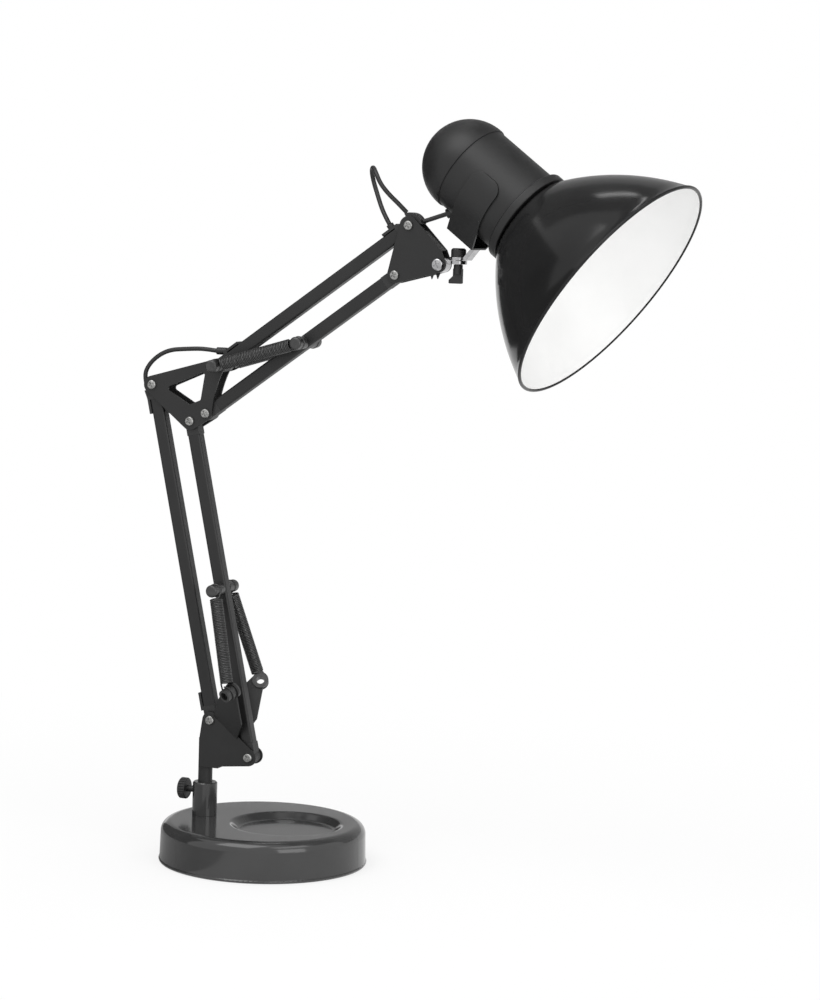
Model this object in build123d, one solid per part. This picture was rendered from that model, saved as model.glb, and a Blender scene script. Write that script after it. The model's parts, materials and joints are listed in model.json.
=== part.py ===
from build123d import *
import os
from math import acos, atan2, cos, degrees, hypot, pi, radians, sin, sqrt, tan

# Adjustable desk lamp: weighted round base, two spring-balanced parallelogram arms and a tilting head.
# Millimetres and degrees. Origin at the centre of the base on the table, +Z up, the arm in the XZ plane.

# Clearances
RUN = 0.05           # radial clearance of a pin that turns in its hole
OPEN_RUN = 0.25      # radial clearance at the two pivots that close the parallelograms
FIT = 0.05           # gap between pieces that are pressed or screwed together
MOVE = 0.3           # gap between pieces that pass each other
CORNER = 0.2         # rounding of the sharp corners of folded sheet
EDGE = 0.8           # chamfer on turned edges
THROUGH = 1.0        # how far a cutter passes beyond what it cuts

# Base
BASE_RADIUS = 80.0
BASE_TOP_RADIUS = 78.5
BASE_HEIGHT = 31.0
BASE_SHOULDER = 8.0
BASE_WALL = 2.0
BASE_BEAD = 1.2
TABLE_GAP = 0.5
DISH_RADIUS = 43.0
DISH_DEPTH = 5.0
DISH_OFFSET = 19.0
DISH_DRAFT = 6.0
DISH_ROUND = 4.0
PAD_RADIUS = 74.0
PAD_THICKNESS = 2.0
BALLAST_GAP = 1.5
BALLAST_THICKNESS = 12.0
BALLAST_BOSS_RADIUS = 15.0
GLAND_RADIUS = 4.5
GLAND_NECK_RADIUS = 3.2
GLAND_FLANGE = 1.5
GLAND_REACH = 4.0
GLAND_ANGLE = 100.0
GLAND_TAPER = 12.0

# Post socket, clamp screw and swivel spigot
POST_X = -50.0
POST_RADIUS = 9.5
POST_TOP = 57.0
POST_FLOOR = 35.0
POST_STUD_RADIUS = 5.0
POST_NUT_FLATS = 16.0
POST_NUT_HEIGHT = 5.0
SPIGOT_RADIUS = 5.5
SPIGOT_TOP = 92.0
CLAMP_HEIGHT = 50.0
CLAMP_RADIUS = 2.5
KNOB_RADIUS = 8.2
KNOB_THICKNESS = 6.0
KNOB_GAP = 5.0
KNOB_GROOVES = 24
KNOB_GROOVE_RADIUS = 0.7

# Square tubes and their end fittings
TUBE = 10.0
TUBE_WALL = 1.0
TUBE_CORNER = 1.8
EYE_RADIUS = 5.6
EYE_SIDE = 0.3
EYE_REACH = 11.0
PLUG_LENGTH = 8.0
PLUG_SIDE = 0.5
LIP_START = 8.0
LIP_END = 22.0
LIP_THICKNESS = 2.0
STUB_RADIUS = 2.8
STUB_HEIGHT = 6.4
REAR_STUB = (9.5, 170.0, 6.5)
ELBOW_STUB = (9.5, 143.7, 8.0)
HEAD_STUB = (14.0, 90.0, 4.0)

# Folded sheet brackets and pivot screws
SHEET = 1.5
SIDE_GAP = 0.6
PIVOT_RADIUS = 2.0
PIVOT_HEAD_RADIUS = 3.6
PIVOT_HEAD_HEIGHT = 2.0
NUT_FLATS = 7.0
NUT_HEIGHT = 3.0
RECESS_WIDTH = 0.9
RECESS_DEPTH = 0.9
RECESS_TURN = 25.0

# Lower arm: bracket pivots, bar length and lean
LOWER_PIVOT = (-44.0, 106.5)
LOWER_LINK = (32.5, -26.4)
LOWER_LENGTH = 262.0
LOWER_LEAN = 12.2
BRACKET_BOSS = 6.5
BRACKET_BACK = -52.5
BRACKET_BOTTOM = 69.5
BRACKET_SHOULDER = 91.0
BRACKET_FLOOR = 16.0
EAR_TIP = (-16.8, 26.0, 135.3)
EAR_RING = 6.3
EAR_FOOT = 26.0
EAR_WAIST_RISE = 17.0
EAR_WAIST = 23.0
BUSH_RADIUS = 5.0
BUSH_BORE = 3.2
BUSH_REACH = 9.0
LOWER_PIN_REACH = 131.3

# Elbow and upper arm
ELBOW_TOP = (55.2, 17.2)
UPPER_LINK = (-9.8, -37.0)
UPPER_LENGTH = 187.0
UPPER_RISE = 36.3
ELBOW_BOSS = 6.8
ELBOW_FRONT_BOSS = 5.4
ELBOW_WAIST = 2.2
ELBOW_WINDOW = ((11.4, -2.0), (31.7, -13.7), (41.1, -9.9), (44.6, 12.6))
WINDOW_ROUND = 2.0
UPPER_PIN_REACH = 97.0

# Spring pins, spools and springs
PIN_RADIUS = 2.5
SPOOL_RADIUS = 4.8
SPOOL_NECK = 4.0
SPOOL_NECK_WIDTH = 2.8
SPOOL_END = 22.0
SPOOL_ROUND = 2.0
SPRING_Y = 14.0
SPRING_WIRE = 1.7
SPRING_RADIUS = 4.15
SPRING_TURNS = 24
SPRING_END = 2.0
SPRING_BEND = 2.5
STEPS_A_TURN = 4

# Head bracket, knuckle and wing screw
TILT_OFFSET = (24.0, -28.0)
HEAD_TOP_BOSS = 7.0
HEAD_LOW_BOSS = 6.0
HEAD_TILT_BOSS = 6.0
WEB_CORNER = (26.0, -17.5)
WEB_TOP = 11.0
TAB_DROP = 11.0
TAB_WIDTH = 7.0
TAB_TIP = 4.5
TAB_ROOT = 4.0
TILT_RADIUS = 2.5
TILT_HEAD_RADIUS = 4.6
TILT_HEAD_HEIGHT = 2.6
GUIDE_INNER = 6.0
GUIDE_OUTER = 9.6
GUIDE_LOW = 8.0
GUIDE_HIGH = 116.0
KNUCKLE_EYE = 6.0
KNUCKLE_PLATE = 2.7
PAN_REACH = 13.5
PAN_RISE = 3.5
PAN_BOSS = 6.5
PAN_PLATE = 2.2
PAN_BOLT = 2.5
PAN_STRIP = 2.7
PAN_STRIP_EDGE = 0.8
PAN_ROOT_GAP = 0.5
PAN_HEEL = 2.4
CAP_RADIUS = 5.6
CAP_HEIGHT = 6.6
CAP_ROUND = 2.0
WING_HUB = 3.4
WING_LENGTH = 14.0
WING_THICKNESS = 3.6
WING_ROOT = 3.0
WING_TOE = 6.6
WING_TOE_HEIGHT = 2.6
WING_INSTEP = 5.6

# Head
HEAD_CENTRE = (20.1, 72.0)
HEAD_DEPRESSION = 36.6
HEAD_PAN = -6.0
HEAD_RADIUS = 34.0
HEAD_WALL = 1.5
DOME_START = 0.0
DOME_LIP = 2.0
DOME_WALL = 0.9
DOME_EDGE = 0.7
BEHIND = 40.0
TUBE_END = 61.0
COLLAR_START = 56.0
COLLAR_END = 63.0
COLLAR_RADIUS = 37.5
COLLAR_PLATE = 2.0
COLLAR_ROUND = 1.5
NECK_RADIUS = 30.0
NECK_LENGTH = 2.5
SHADE_NECK = 38.0
SHADE_BULGE = (98.0, 69.0)
SHADE_RIM = 143.5
SHADE_RIM_RADIUS = 94.0
SHADE_WALL = 1.2
RIM_BEAD = 1.3
HOLDER_RADIUS = 19.5
HOLDER_START = 22.0
HOLDER_END = 75.0
HOLDER_SHOULDER = 24.0
HOLDER_STEP = 8.0
SHELL_BORE = 13.3
SHELL_WALL = 0.6
SHELL_DEPTH = 25.0
SHELL_LIFT = 3.0
CONTACT_RADIUS = 4.0
CONTACT_HEIGHT = 2.5
RING_RADIUS = 25.0
RING_HEIGHT = 5.0
STRAP_START = 18.0
STRAP_END = 43.5
STRAP_SHEET = 1.5
STRAP_DROP = 43.0
STRAP_BASE = 24.0
STRAP_EAR = 13.0
STRAP_ROUND = 9.0

# Flex
FLEX = 3.4
FLEX_GAP = 0.5
GROMMET_RADIUS = 3.6
GROMMET_REACH = 38.0
GROMMET_STATION = 7.0
GROMMET_NECK_RADIUS = 2.6
GROMMET_LENGTH = 10.0
GROMMET_NECK_LENGTH = 16.0


def plus(a, b):
    """Add two side-view points."""
    return (a[0] + b[0], a[1] + b[1])


def turned(length, angle):
    """Side-view vector of a length at an angle above +X."""
    return (length * cos(radians(angle)), length * sin(radians(angle)))


# Places worked out from the driving dimensions, as side-view points (x, z)
EYE_HALF = TUBE / 2 + EYE_SIDE
CHEEK_IN = TUBE / 2 + SIDE_GAP
CHEEK_OUT = CHEEK_IN + SHEET
LOWER_ANGLE = 90.0 + LOWER_LEAN
P1 = LOWER_PIVOT
P2 = plus(P1, LOWER_LINK)
P3 = plus(P1, turned(LOWER_LENGTH, LOWER_ANGLE))
P4 = plus(P3, LOWER_LINK)
Q1 = plus(P3, ELBOW_TOP)
Q2 = plus(Q1, UPPER_LINK)
Q3 = plus(Q1, turned(UPPER_LENGTH, UPPER_RISE))
Q4 = plus(Q3, UPPER_LINK)
TILT = plus(Q3, TILT_OFFSET)
PAN = (TILT[0] + PAN_REACH, TILT[1] + PAN_RISE)
LOWER_PIN = plus(P2, turned(LOWER_PIN_REACH, LOWER_ANGLE))
UPPER_PIN = plus(Q2, turned(UPPER_PIN_REACH, UPPER_RISE))
HEAD_O = plus(TILT, HEAD_CENTRE)
BALLAST_BOTTOM = PAD_THICKNESS
BALLAST_TOP = BALLAST_BOTTOM + BALLAST_THICKNESS
COVER_UNDER = BASE_HEIGHT - BASE_WALL
INNER_RADIUS = BASE_TOP_RADIUS - BASE_WALL
BALLAST_RADIUS = INNER_RADIUS - BALLAST_GAP


def side_plate(sketch, low_y, high_y):
    """Extrude a side-view sketch between two Y positions."""
    return extrude(Plane.XZ.offset(-high_y) * sketch, high_y - low_y)


def y_rod(centre, radius, low_y, high_y):
    """Round rod along Y at a side-view point."""
    return side_plate(Pos(*centre) * Circle(radius), low_y, high_y)


def z_rod(x, y, radius, low_z, high_z):
    """Round rod along Z."""
    return extrude(Plane.XY.offset(low_z) * Pos(x, y) * Circle(radius), high_z - low_z)


def hull(circles, points=()):
    """Side-view outline round circles given as (centre, radius) and bare points."""
    edges = []
    for centre, radius in circles:
        edges += (Pos(*centre) * Circle(radius)).edges()
    for point in points:
        edges += (Pos(*point) * Circle(CORNER)).edges()
    return make_hull(edges)


# Base

def base_cover():
    """Pressed cover: drafted wall, rounded shoulder, dish, post hole and a bead at the foot."""
    outer = loft([
        Plane.XY.offset(TABLE_GAP) * Circle(BASE_RADIUS - BASE_BEAD / 2),
        Plane.XY.offset(BASE_HEIGHT) * Circle(BASE_TOP_RADIUS),
    ])
    outer = fillet(outer.edges().sort_by(Axis.Z)[-1], BASE_SHOULDER)
    bead_ring = Torus(BASE_RADIUS - BASE_BEAD, BASE_BEAD)
    outer += Pos(0, 0, TABLE_GAP + BASE_BEAD) * bead_ring
    inner = z_rod(0, 0, INNER_RADIUS, 0, COVER_UNDER)
    inner = fillet(inner.edges().sort_by(Axis.Z)[-1], BASE_SHOULDER - BASE_WALL / 2)
    dish_out = loft([
        Plane.XY.offset(BASE_HEIGHT) * Pos(DISH_OFFSET, 0) * Circle(DISH_RADIUS),
        Plane.XY.offset(BASE_HEIGHT - DISH_DEPTH) * Pos(DISH_OFFSET, 0) * Circle(DISH_RADIUS - DISH_DRAFT),
    ])
    dish_in = Pos(0, 0, -BASE_WALL) * loft([
        Plane.XY.offset(BASE_HEIGHT) * Pos(DISH_OFFSET, 0) * Circle(DISH_RADIUS + BASE_WALL),
        Plane.XY.offset(BASE_HEIGHT - DISH_DEPTH) * Pos(DISH_OFFSET, 0)
        * Circle(DISH_RADIUS + BASE_WALL - DISH_DRAFT),
    ])
    outer -= dish_out
    circles = outer.edges().filter_by(GeomType.CIRCLE)
    dish_edges = [edge for edge in circles if abs(edge.arc_center.X - DISH_OFFSET) < FIT]
    shell = fillet(dish_edges, DISH_ROUND) - (inner - dish_in)
    shell -= z_rod(POST_X, 0, POST_STUD_RADIUS + FIT, 0, BASE_HEIGHT + THROUGH)
    return shell - gland_hole()


def gland_axis():
    """Plane at the middle of the gland, facing out through the cover wall."""
    out = Vector(cos(radians(GLAND_ANGLE)), sin(radians(GLAND_ANGLE)), 0)
    return Plane(origin=out * INNER_RADIUS + Vector(0, 0, BALLAST_TOP + GLAND_RADIUS + MOVE), z_dir=out)


def gland_hole():
    """Round hole for the gland's neck."""
    return extrude(gland_axis() * Circle(GLAND_NECK_RADIUS + FIT), GLAND_REACH * 2, both=True)


def cable_gland():
    """Gland at the back of the base: a neck in the wall, a flange inside, a nose outside and a bore."""
    out = gland_axis()
    wall = BASE_RADIUS - INNER_RADIUS
    neck = extrude(out * Circle(GLAND_NECK_RADIUS), wall + GLAND_REACH)
    flange = extrude(out.offset(-GLAND_FLANGE) * Circle(GLAND_RADIUS), GLAND_FLANGE - MOVE)
    nose = extrude(out.offset(wall) * Circle(GLAND_RADIUS), GLAND_REACH, taper=GLAND_TAPER)
    body = neck + extrude(out.offset(-GLAND_FLANGE) * Circle(GLAND_NECK_RADIUS), GLAND_FLANGE) + flange + nose
    return body - extrude(out * Circle(FLEX / 2 + FIT), 2 * (wall + GLAND_REACH), both=True)


def base_ballast():
    """Cast-iron disc with a boss under the post and a pocket for the post nut."""
    disc = z_rod(0, 0, BALLAST_RADIUS, BALLAST_BOTTOM, BALLAST_TOP)
    disc += z_rod(POST_X, 0, BALLAST_BOSS_RADIUS, BALLAST_TOP, COVER_UNDER)
    disc -= z_rod(POST_X, 0, POST_STUD_RADIUS + FIT, 0, BASE_HEIGHT)
    pocket_top = BALLAST_BOTTOM + POST_NUT_HEIGHT + BASE_WALL
    disc -= z_rod(POST_X, 0, POST_NUT_FLATS * 0.62, BALLAST_BOTTOM, pocket_top)
    return disc


def base_pad():
    """Foam pad that the lamp stands on."""
    return z_rod(0, 0, PAD_RADIUS, 0, PAD_THICKNESS)


def post_socket():
    """Turned socket with a blind bore for the spigot, a stud below and a threaded clamp hole."""
    body = z_rod(POST_X, 0, POST_RADIUS, BASE_HEIGHT, POST_TOP)
    body = chamfer(body.edges().sort_by(Axis.Z)[-1], EDGE)
    body += z_rod(POST_X, 0, POST_STUD_RADIUS, BALLAST_BOTTOM + BASE_WALL / 2, BASE_HEIGHT)
    body -= z_rod(POST_X, 0, SPIGOT_RADIUS + RUN, POST_FLOOR, POST_TOP + THROUGH)
    return body - clamp_rod(CLAMP_RADIUS + RUN, POST_X - POST_RADIUS - THROUGH, POST_X)


def clamp_rod(radius, low_x, high_x):
    """Round rod along X at the clamp screw's height."""
    return extrude(Plane.YZ.offset(low_x) * Pos(0, CLAMP_HEIGHT) * Circle(radius), high_x - low_x)


def post_nut():
    """Hexagon nut on the post stud, in the ballast pocket."""
    top = BALLAST_BOTTOM + POST_NUT_HEIGHT + BASE_WALL
    hexagon = RegularPolygon(POST_NUT_FLATS / 2, 6, major_radius=False)
    nut = extrude(Plane.XY.offset(top - POST_NUT_HEIGHT) * Pos(POST_X, 0) * hexagon, POST_NUT_HEIGHT)
    return nut - z_rod(POST_X, 0, POST_STUD_RADIUS + FIT, 0, BASE_HEIGHT)


def thumb_screw():
    """Clamp screw with a grooved knob."""
    tip = POST_X - SPIGOT_RADIUS - MOVE
    knob_face = POST_X - POST_RADIUS - KNOB_GAP
    shank = clamp_rod(CLAMP_RADIUS, knob_face, tip)
    knob = clamp_rod(KNOB_RADIUS, knob_face - KNOB_THICKNESS, knob_face)
    knob = chamfer(knob.edges().filter_by(GeomType.CIRCLE), EDGE)
    for i in range(KNOB_GROOVES):
        y, z = turned(KNOB_RADIUS, 360 / KNOB_GROOVES * i)
        groove = Plane.YZ.offset(knob_face - KNOB_THICKNESS - THROUGH) * Pos(y, CLAMP_HEIGHT + z)
        knob -= extrude(groove * Circle(KNOB_GROOVE_RADIUS), KNOB_THICKNESS + 2 * THROUGH)
    return knob + shank


def swivel_spigot():
    """Rod that turns in the socket and carries the lower bracket."""
    rod = z_rod(POST_X, 0, SPIGOT_RADIUS, POST_FLOOR + MOVE, SPIGOT_TOP)
    return chamfer(rod.edges().filter_by(GeomType.CIRCLE), EDGE)


# Lower bracket

def ear_plane(side):
    """Plane of a spring ear: X along the bend from pivot to pivot, Y up the ear, on one side of the lamp."""
    along = Vector(LOWER_LINK[0], 0, LOWER_LINK[1]).normalized()
    rise = Vector(-along.Z, 0, along.X)
    foot = Vector(P1[0], 0, P1[1]) + rise * (BRACKET_BOSS - SHEET) + Vector(0, side * CHEEK_IN, 0)
    tip = Vector(EAR_TIP[0], side * EAR_TIP[1], EAR_TIP[2])
    climb = tip - foot
    climb = climb - along * climb.dot(along)
    up = climb.normalized()
    return Plane(origin=foot, x_dir=along, z_dir=along.cross(up))


def ear_tip(side):
    """Centre of the ear's ring in the ear's own plane."""
    return ear_plane(side).to_local_coords(Vector(EAR_TIP[0], side * EAR_TIP[1], EAR_TIP[2]))


def ear_out(side):
    """Unit vector square to the ear, pointing away from the arm."""
    normal = ear_plane(side).z_dir
    return normal if normal.Y * side > 0 else normal * -1


def spring_ear(side):
    """Flared ear with a ring at its tip."""
    tip = ear_tip(side)
    outline = Polyline(
        (0, 0),
        (EAR_FOOT, 0),
        (EAR_WAIST, EAR_WAIST_RISE),
        (tip.X + EAR_RING * 0.9, tip.Y - EAR_RING * 0.4),
        (tip.X - EAR_RING, tip.Y),
        (tip.X - EAR_RING, EAR_WAIST_RISE),
        close=True,
    )
    flat = make_face(outline) + Pos(tip.X, tip.Y) * Circle(EAR_RING)
    flat -= Pos(tip.X, tip.Y) * Circle(BUSH_RADIUS + FIT)
    return extrude(ear_plane(side) * flat, SHEET, dir=ear_out(side))


def lower_bracket():
    """Folded sheet bracket: two cheeks, a floor that the spigot passes through and two flared spring ears."""
    corners = [(BRACKET_BACK, BRACKET_BOTTOM), (BRACKET_BACK, BRACKET_SHOULDER)]
    cheek = hull([(P1, BRACKET_BOSS), (P2, BRACKET_BOSS)], corners)
    for pivot in (P1, P2):
        cheek -= Pos(*pivot) * Circle(PIVOT_RADIUS + FIT)
    bracket = block(BRACKET_BACK, BRACKET_BACK + BRACKET_FLOOR, -CHEEK_OUT, CHEEK_OUT,
                    BRACKET_BOTTOM, BRACKET_BOTTOM + SHEET)
    for low, high in ((-CHEEK_OUT, -CHEEK_IN), (CHEEK_IN, CHEEK_OUT)):
        bracket += side_plate(cheek, low, high)
    for side in (-1, 1):
        bracket += spring_ear(side)
    return bracket - z_rod(POST_X, 0, SPIGOT_RADIUS + FIT, POST_TOP, SPIGOT_TOP)


def bush_plane(side):
    """Plane at the ring of an ear, facing out."""
    out = ear_out(side)
    return Plane(origin=Vector(EAR_TIP[0], side * EAR_TIP[1], EAR_TIP[2]), z_dir=out)


def ear_bushes():
    """Tubular bushes in the ears that the lower springs hang on."""
    bushes = []
    for side in (-1, 1):
        seat = bush_plane(side)
        barrel = extrude(seat.offset(-SHEET) * Circle(BUSH_RADIUS), SHEET + SHEET + BUSH_REACH)
        barrel += extrude(seat.offset(-SHEET) * Circle(EAR_RING), SHEET - FIT)
        bore_start = seat.offset(-SHEET - THROUGH)
        barrel -= extrude(bore_start * Circle(BUSH_BORE), BUSH_REACH + 3 * SHEET + 2 * THROUGH)
        bushes.append(barrel)
    return Part() + bushes


def pivot_screw(centre, radius=PIVOT_RADIUS, head_radius=PIVOT_HEAD_RADIUS, head_height=PIVOT_HEAD_HEIGHT):
    """Pan-head screw along Y with its head on the near side."""
    shank = y_rod(centre, radius, -CHEEK_OUT, CHEEK_OUT + NUT_HEIGHT + THROUGH)
    head = y_rod(centre, head_radius, -CHEEK_OUT - head_height, -CHEEK_OUT)
    head = fillet(head.faces().sort_by(Axis.Y)[0].edges(), head_height * 0.6)
    arm = head_radius * 1.2
    cross = Rectangle(arm, RECESS_WIDTH) + Rectangle(RECESS_WIDTH, arm)
    recess = Pos(*centre) * Rot(0, 0, RECESS_TURN) * cross
    outer = -CHEEK_OUT - head_height
    return shank + head - side_plate(recess, outer, outer + RECESS_DEPTH)


def pivot_nut(centre, radius=PIVOT_RADIUS, flats=NUT_FLATS):
    """Hexagon nut on the far side."""
    flat = Pos(*centre) * (RegularPolygon(flats / 2, 6, major_radius=False) - Circle(radius + FIT))
    return side_plate(flat, CHEEK_OUT, CHEEK_OUT + NUT_HEIGHT)


# Bars

def bar_tube(length, pin_reach=None):
    """Square tube along X between its end fittings, bored for a spring pin where it has one."""
    bore = TUBE - 2 * TUBE_WALL
    section = RectangleRounded(TUBE, TUBE, TUBE_CORNER)
    section -= RectangleRounded(bore, bore, TUBE_CORNER - TUBE_WALL)
    tube = extrude(Plane.YZ.offset(EYE_REACH) * section, length - 2 * EYE_REACH)
    if pin_reach is not None:
        tube -= y_rod((pin_reach, 0), PIN_RADIUS + FIT, -TUBE, TUBE)
    return tube


def block(low_x, high_x, low_y, high_y, low_z, high_z):
    """Box between corner coordinates."""
    centre = Pos((low_x + high_x) / 2, (low_y + high_y) / 2, (low_z + high_z) / 2)
    return centre * Box(high_x - low_x, high_y - low_y, high_z - low_z)


def bar_end(hole, lip=False, stub=None):
    """End fitting at the origin: eye, neck and plug, some with a lip over the tube and a flex stub.

    The stub is (place along the bar, angle, length).
    """
    half = TUBE / 2
    plug = half - TUBE_WALL - FIT
    fitting = y_rod((0, 0), EYE_RADIUS, -EYE_HALF, EYE_HALF)
    fitting += block(0, EYE_REACH, -half, half, -half, half)
    fitting += block(EYE_REACH, EYE_REACH + PLUG_LENGTH, -plug + PLUG_SIDE, plug - PLUG_SIDE, -plug, plug)
    if lip:
        fitting += block(LIP_START, EYE_REACH, -half, half, half - TUBE_WALL, half + LIP_THICKNESS)
        fitting += block(LIP_START, LIP_END, -half, half, half + FIT, half + LIP_THICKNESS)
    if stub is not None:
        place, angle, reach = stub
        root = Plane(origin=(place, 0, STUB_HEIGHT), z_dir=(cos(radians(angle)), 0, sin(radians(angle))))
        fitting += extrude(root * Circle(STUB_RADIUS), reach)
    return fitting - y_rod((0, 0), hole, -EYE_HALF - THROUGH, EYE_HALF + THROUGH)


def stub_end(start, angle, stub, length=0.0):
    """Side-view end of a flex stub on a placed bar and the way it points, for either end of the bar."""
    place, lean, reach = stub
    tip = plus((place, STUB_HEIGHT), turned(reach, lean))
    along = tip[0] if length == 0.0 else length - tip[0]
    lean = lean if length == 0.0 else 180 - lean
    end = plus(start, plus(turned(along, angle), turned(tip[1], angle + 90)))
    return end, turned(1.0, lean + angle)


def bar_place(start, angle):
    """Location that lays a bar from its start pivot at an angle above +X."""
    return Pos(start[0], 0, start[1]) * Rot(0, -angle, 0)


def far_end(fitting, length):
    """The same fitting at the other end of a bar."""
    return Pos(length, 0, 0) * mirror(fitting, Plane.YZ)


def flex_in_tube(length):
    """Flex inside a tube, from plug to plug."""
    start = EYE_REACH + PLUG_LENGTH
    return extrude(Plane.YZ.offset(start) * Circle(FLEX / 2), length - 2 * start)


# Spring pins

def spring_pin(centre, seat):
    """Pin across the arm with a grooved spool on each side, from a seat out to the pin's ends."""
    pair = [y_rod(centre, PIN_RADIUS, -SPOOL_END + SPOOL_ROUND, SPOOL_END - SPOOL_ROUND)]
    neck_in = SPRING_Y - SPOOL_NECK_WIDTH / 2
    neck_out = SPRING_Y + SPOOL_NECK_WIDTH / 2
    for side in (-1, 1):
        spool = y_rod(centre, SPOOL_RADIUS, *sorted((side * seat, side * neck_in)))
        cap = y_rod(centre, SPOOL_RADIUS, *sorted((side * neck_out, side * SPOOL_END)))
        end_face = cap.faces().sort_by(Axis.Y)[-1 if side > 0 else 0]
        spool += fillet(end_face.edges(), SPOOL_ROUND)
        spool += y_rod(centre, SPOOL_NECK, *sorted((side * neck_in, side * neck_out)))
        low, high = sorted((side * seat, side * (SPOOL_END - SPOOL_ROUND)))
        pair.append(spool - y_rod(centre, PIN_RADIUS + FIT, low, high))
    return Part() + pair


# Springs

def biarc(start, start_way, end, end_way):
    """Two tangent arcs from one point and direction to another, as points (start, middle, end)."""
    span = end - start
    ways = start_way + end_way
    a = 2 * (1 - start_way.dot(end_way))
    b = 2 * span.dot(ways)
    c = -span.dot(span)
    reach = (-b + sqrt(b * b - 4 * a * c)) / (2 * a)
    return ((start + start_way * reach) + (end - end_way * reach)) / 2


def coil(low, low_axis, low_seat, high, high_axis, high_seat):
    """Spring between two round seats: straight ends square to the seats, bends and turns of wire."""
    way = (high - low).normalized()
    end_offset = hypot(SPRING_RADIUS, SPRING_BEND)
    low_stop = low_seat + MOVE + (end_offset + SPRING_WIRE) * abs(way.dot(low_axis))
    high_stop = high_seat + MOVE + (end_offset + SPRING_WIRE) * abs(way.dot(high_axis))
    start = low + way * low_stop
    span = (high - way * high_stop - start).length
    lag = degrees(atan2(SPRING_BEND, SPRING_RADIUS))
    across = (low_axis - way * low_axis.dot(way)).normalized()
    frame = Plane(origin=start, x_dir=across, z_dir=way)
    high_way = frame.to_local_coords(start + high_axis)
    high_angle = degrees(atan2(high_way.Y, high_way.X))
    # The low end stands lag degrees before the first turn, the high end lag degrees after the last.
    part_turn = ((high_angle - lag) - lag) % 360 / 360
    turns = SPRING_TURNS - 1 + part_turn
    low_z = SPRING_END + SPRING_BEND
    rise = (span - 2 * low_z) / turns
    slope = rise / (2 * pi * SPRING_RADIUS)

    def on_helix(turn):
        angle = radians(lag) + 2 * pi * turn
        place = Vector(SPRING_RADIUS * cos(angle), SPRING_RADIUS * sin(angle), low_z + rise * turn)
        return place, Vector(-sin(angle), cos(angle), slope).normalized()

    steps = round(turns * STEPS_A_TURN)
    stations = [on_helix(turns * i / steps) for i in range(steps + 1)]
    up = Vector(0, 0, 1)
    first, first_way = stations[0]
    last, last_way = stations[-1]
    bend_turn = acos(up.dot(first_way))
    tangent = SPRING_BEND * tan(bend_turn / 2)
    foot = first - (up + first_way) * tangent
    head = last + (up + last_way) * tangent
    edges = [Edge.make_line(Vector(foot.X, foot.Y, 0), foot), Edge.make_tangent_arc(foot, up, first)]
    for (a, a_way), (b, b_way) in zip(stations, stations[1:]):
        middle = biarc(a, a_way, b, b_way)
        arc = Edge.make_tangent_arc(a, a_way, middle)
        edges += [arc, Edge.make_tangent_arc(middle, arc % 1, b)]
    edges += [Edge.make_tangent_arc(last, last_way, head), Edge.make_line(head, Vector(head.X, head.Y, span))]
    wire = Wire(edges)
    section = Plane(origin=wire @ 0, z_dir=up) * Circle(SPRING_WIRE / 2)
    body = frame.location * sweep(section, wire)
    print(f"spring: {turns:.2f} turns, pitch {rise:.2f}, least gap {least_gap(edges):.2f}")
    return body


def least_gap(edges):
    """Least gap of a wire to itself, on points along its edges."""
    points = []
    run = 0.0
    for edge in edges:
        points += [(run + edge.length * t, edge @ t) for t in (0.0, 0.5)]
        run += edge.length
    skip = pi * SPRING_RADIUS
    gaps = []
    for i, (here, a) in enumerate(points):
        near = [(a - b).length for there, b in points[i + 1:i + 40] if there - here > skip]
        gaps += near
    return min(gaps) - SPRING_WIRE


def lower_spring(side):
    """Spring from an ear bush to a spool on the lower front bar."""
    out = ear_out(side)
    low = Vector(EAR_TIP[0], side * EAR_TIP[1], EAR_TIP[2]) + out * (SHEET + BUSH_REACH / 2)
    high = Vector(LOWER_PIN[0], side * SPRING_Y, LOWER_PIN[1])
    return coil(low, out, BUSH_RADIUS, high, Vector(0, side, 0), SPOOL_RADIUS)


def upper_spring(side):
    """Spring from the elbow axle to a spool on the upper low bar."""
    low = Vector(Q1[0], side * SPRING_Y, Q1[1])
    high = Vector(UPPER_PIN[0], side * SPRING_Y, UPPER_PIN[1])
    across = Vector(0, side, 0)
    return coil(low, across, SPOOL_RADIUS, high, across, SPOOL_RADIUS)


# Elbow

def elbow_plate(side):
    """Elbow plate: three straight arms round a window, with a boss at each pivot and a waist at the front."""
    flat = hull([(P3, ELBOW_BOSS), (P4, ELBOW_BOSS), (Q2, ELBOW_FRONT_BOSS), (Q1, ELBOW_FRONT_BOSS)])
    flat -= elbow_waist()
    window = make_face(Polyline(*[plus(P3, corner) for corner in ELBOW_WINDOW], close=True))
    flat -= fillet(window.vertices(), WINDOW_ROUND)
    for pivot in (P3, P4, Q2):
        flat -= Pos(*pivot) * Circle(PIVOT_RADIUS + FIT)
    flat -= Pos(*Q1) * Circle(PIN_RADIUS + FIT)
    low, high = sorted((side * CHEEK_IN, side * CHEEK_OUT))
    return side_plate(flat, low, high)


def elbow_waist():
    """Shallow arc cut from the front edge of an elbow plate, between its two front pivots."""
    length = hypot(*UPPER_LINK)
    out = (-UPPER_LINK[1] / length, UPPER_LINK[0] / length)
    edge = (out[0] * ELBOW_FRONT_BOSS, out[1] * ELBOW_FRONT_BOSS)
    top = plus(Q1, edge)
    foot = plus(Q2, edge)
    deep = ELBOW_FRONT_BOSS - ELBOW_WAIST
    middle = plus(((Q1[0] + Q2[0]) / 2, (Q1[1] + Q2[1]) / 2), (out[0] * deep, out[1] * deep))
    return make_face([ThreePointArc(top, middle, foot), Line(foot, top)])


# Head bracket and knuckle

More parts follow.
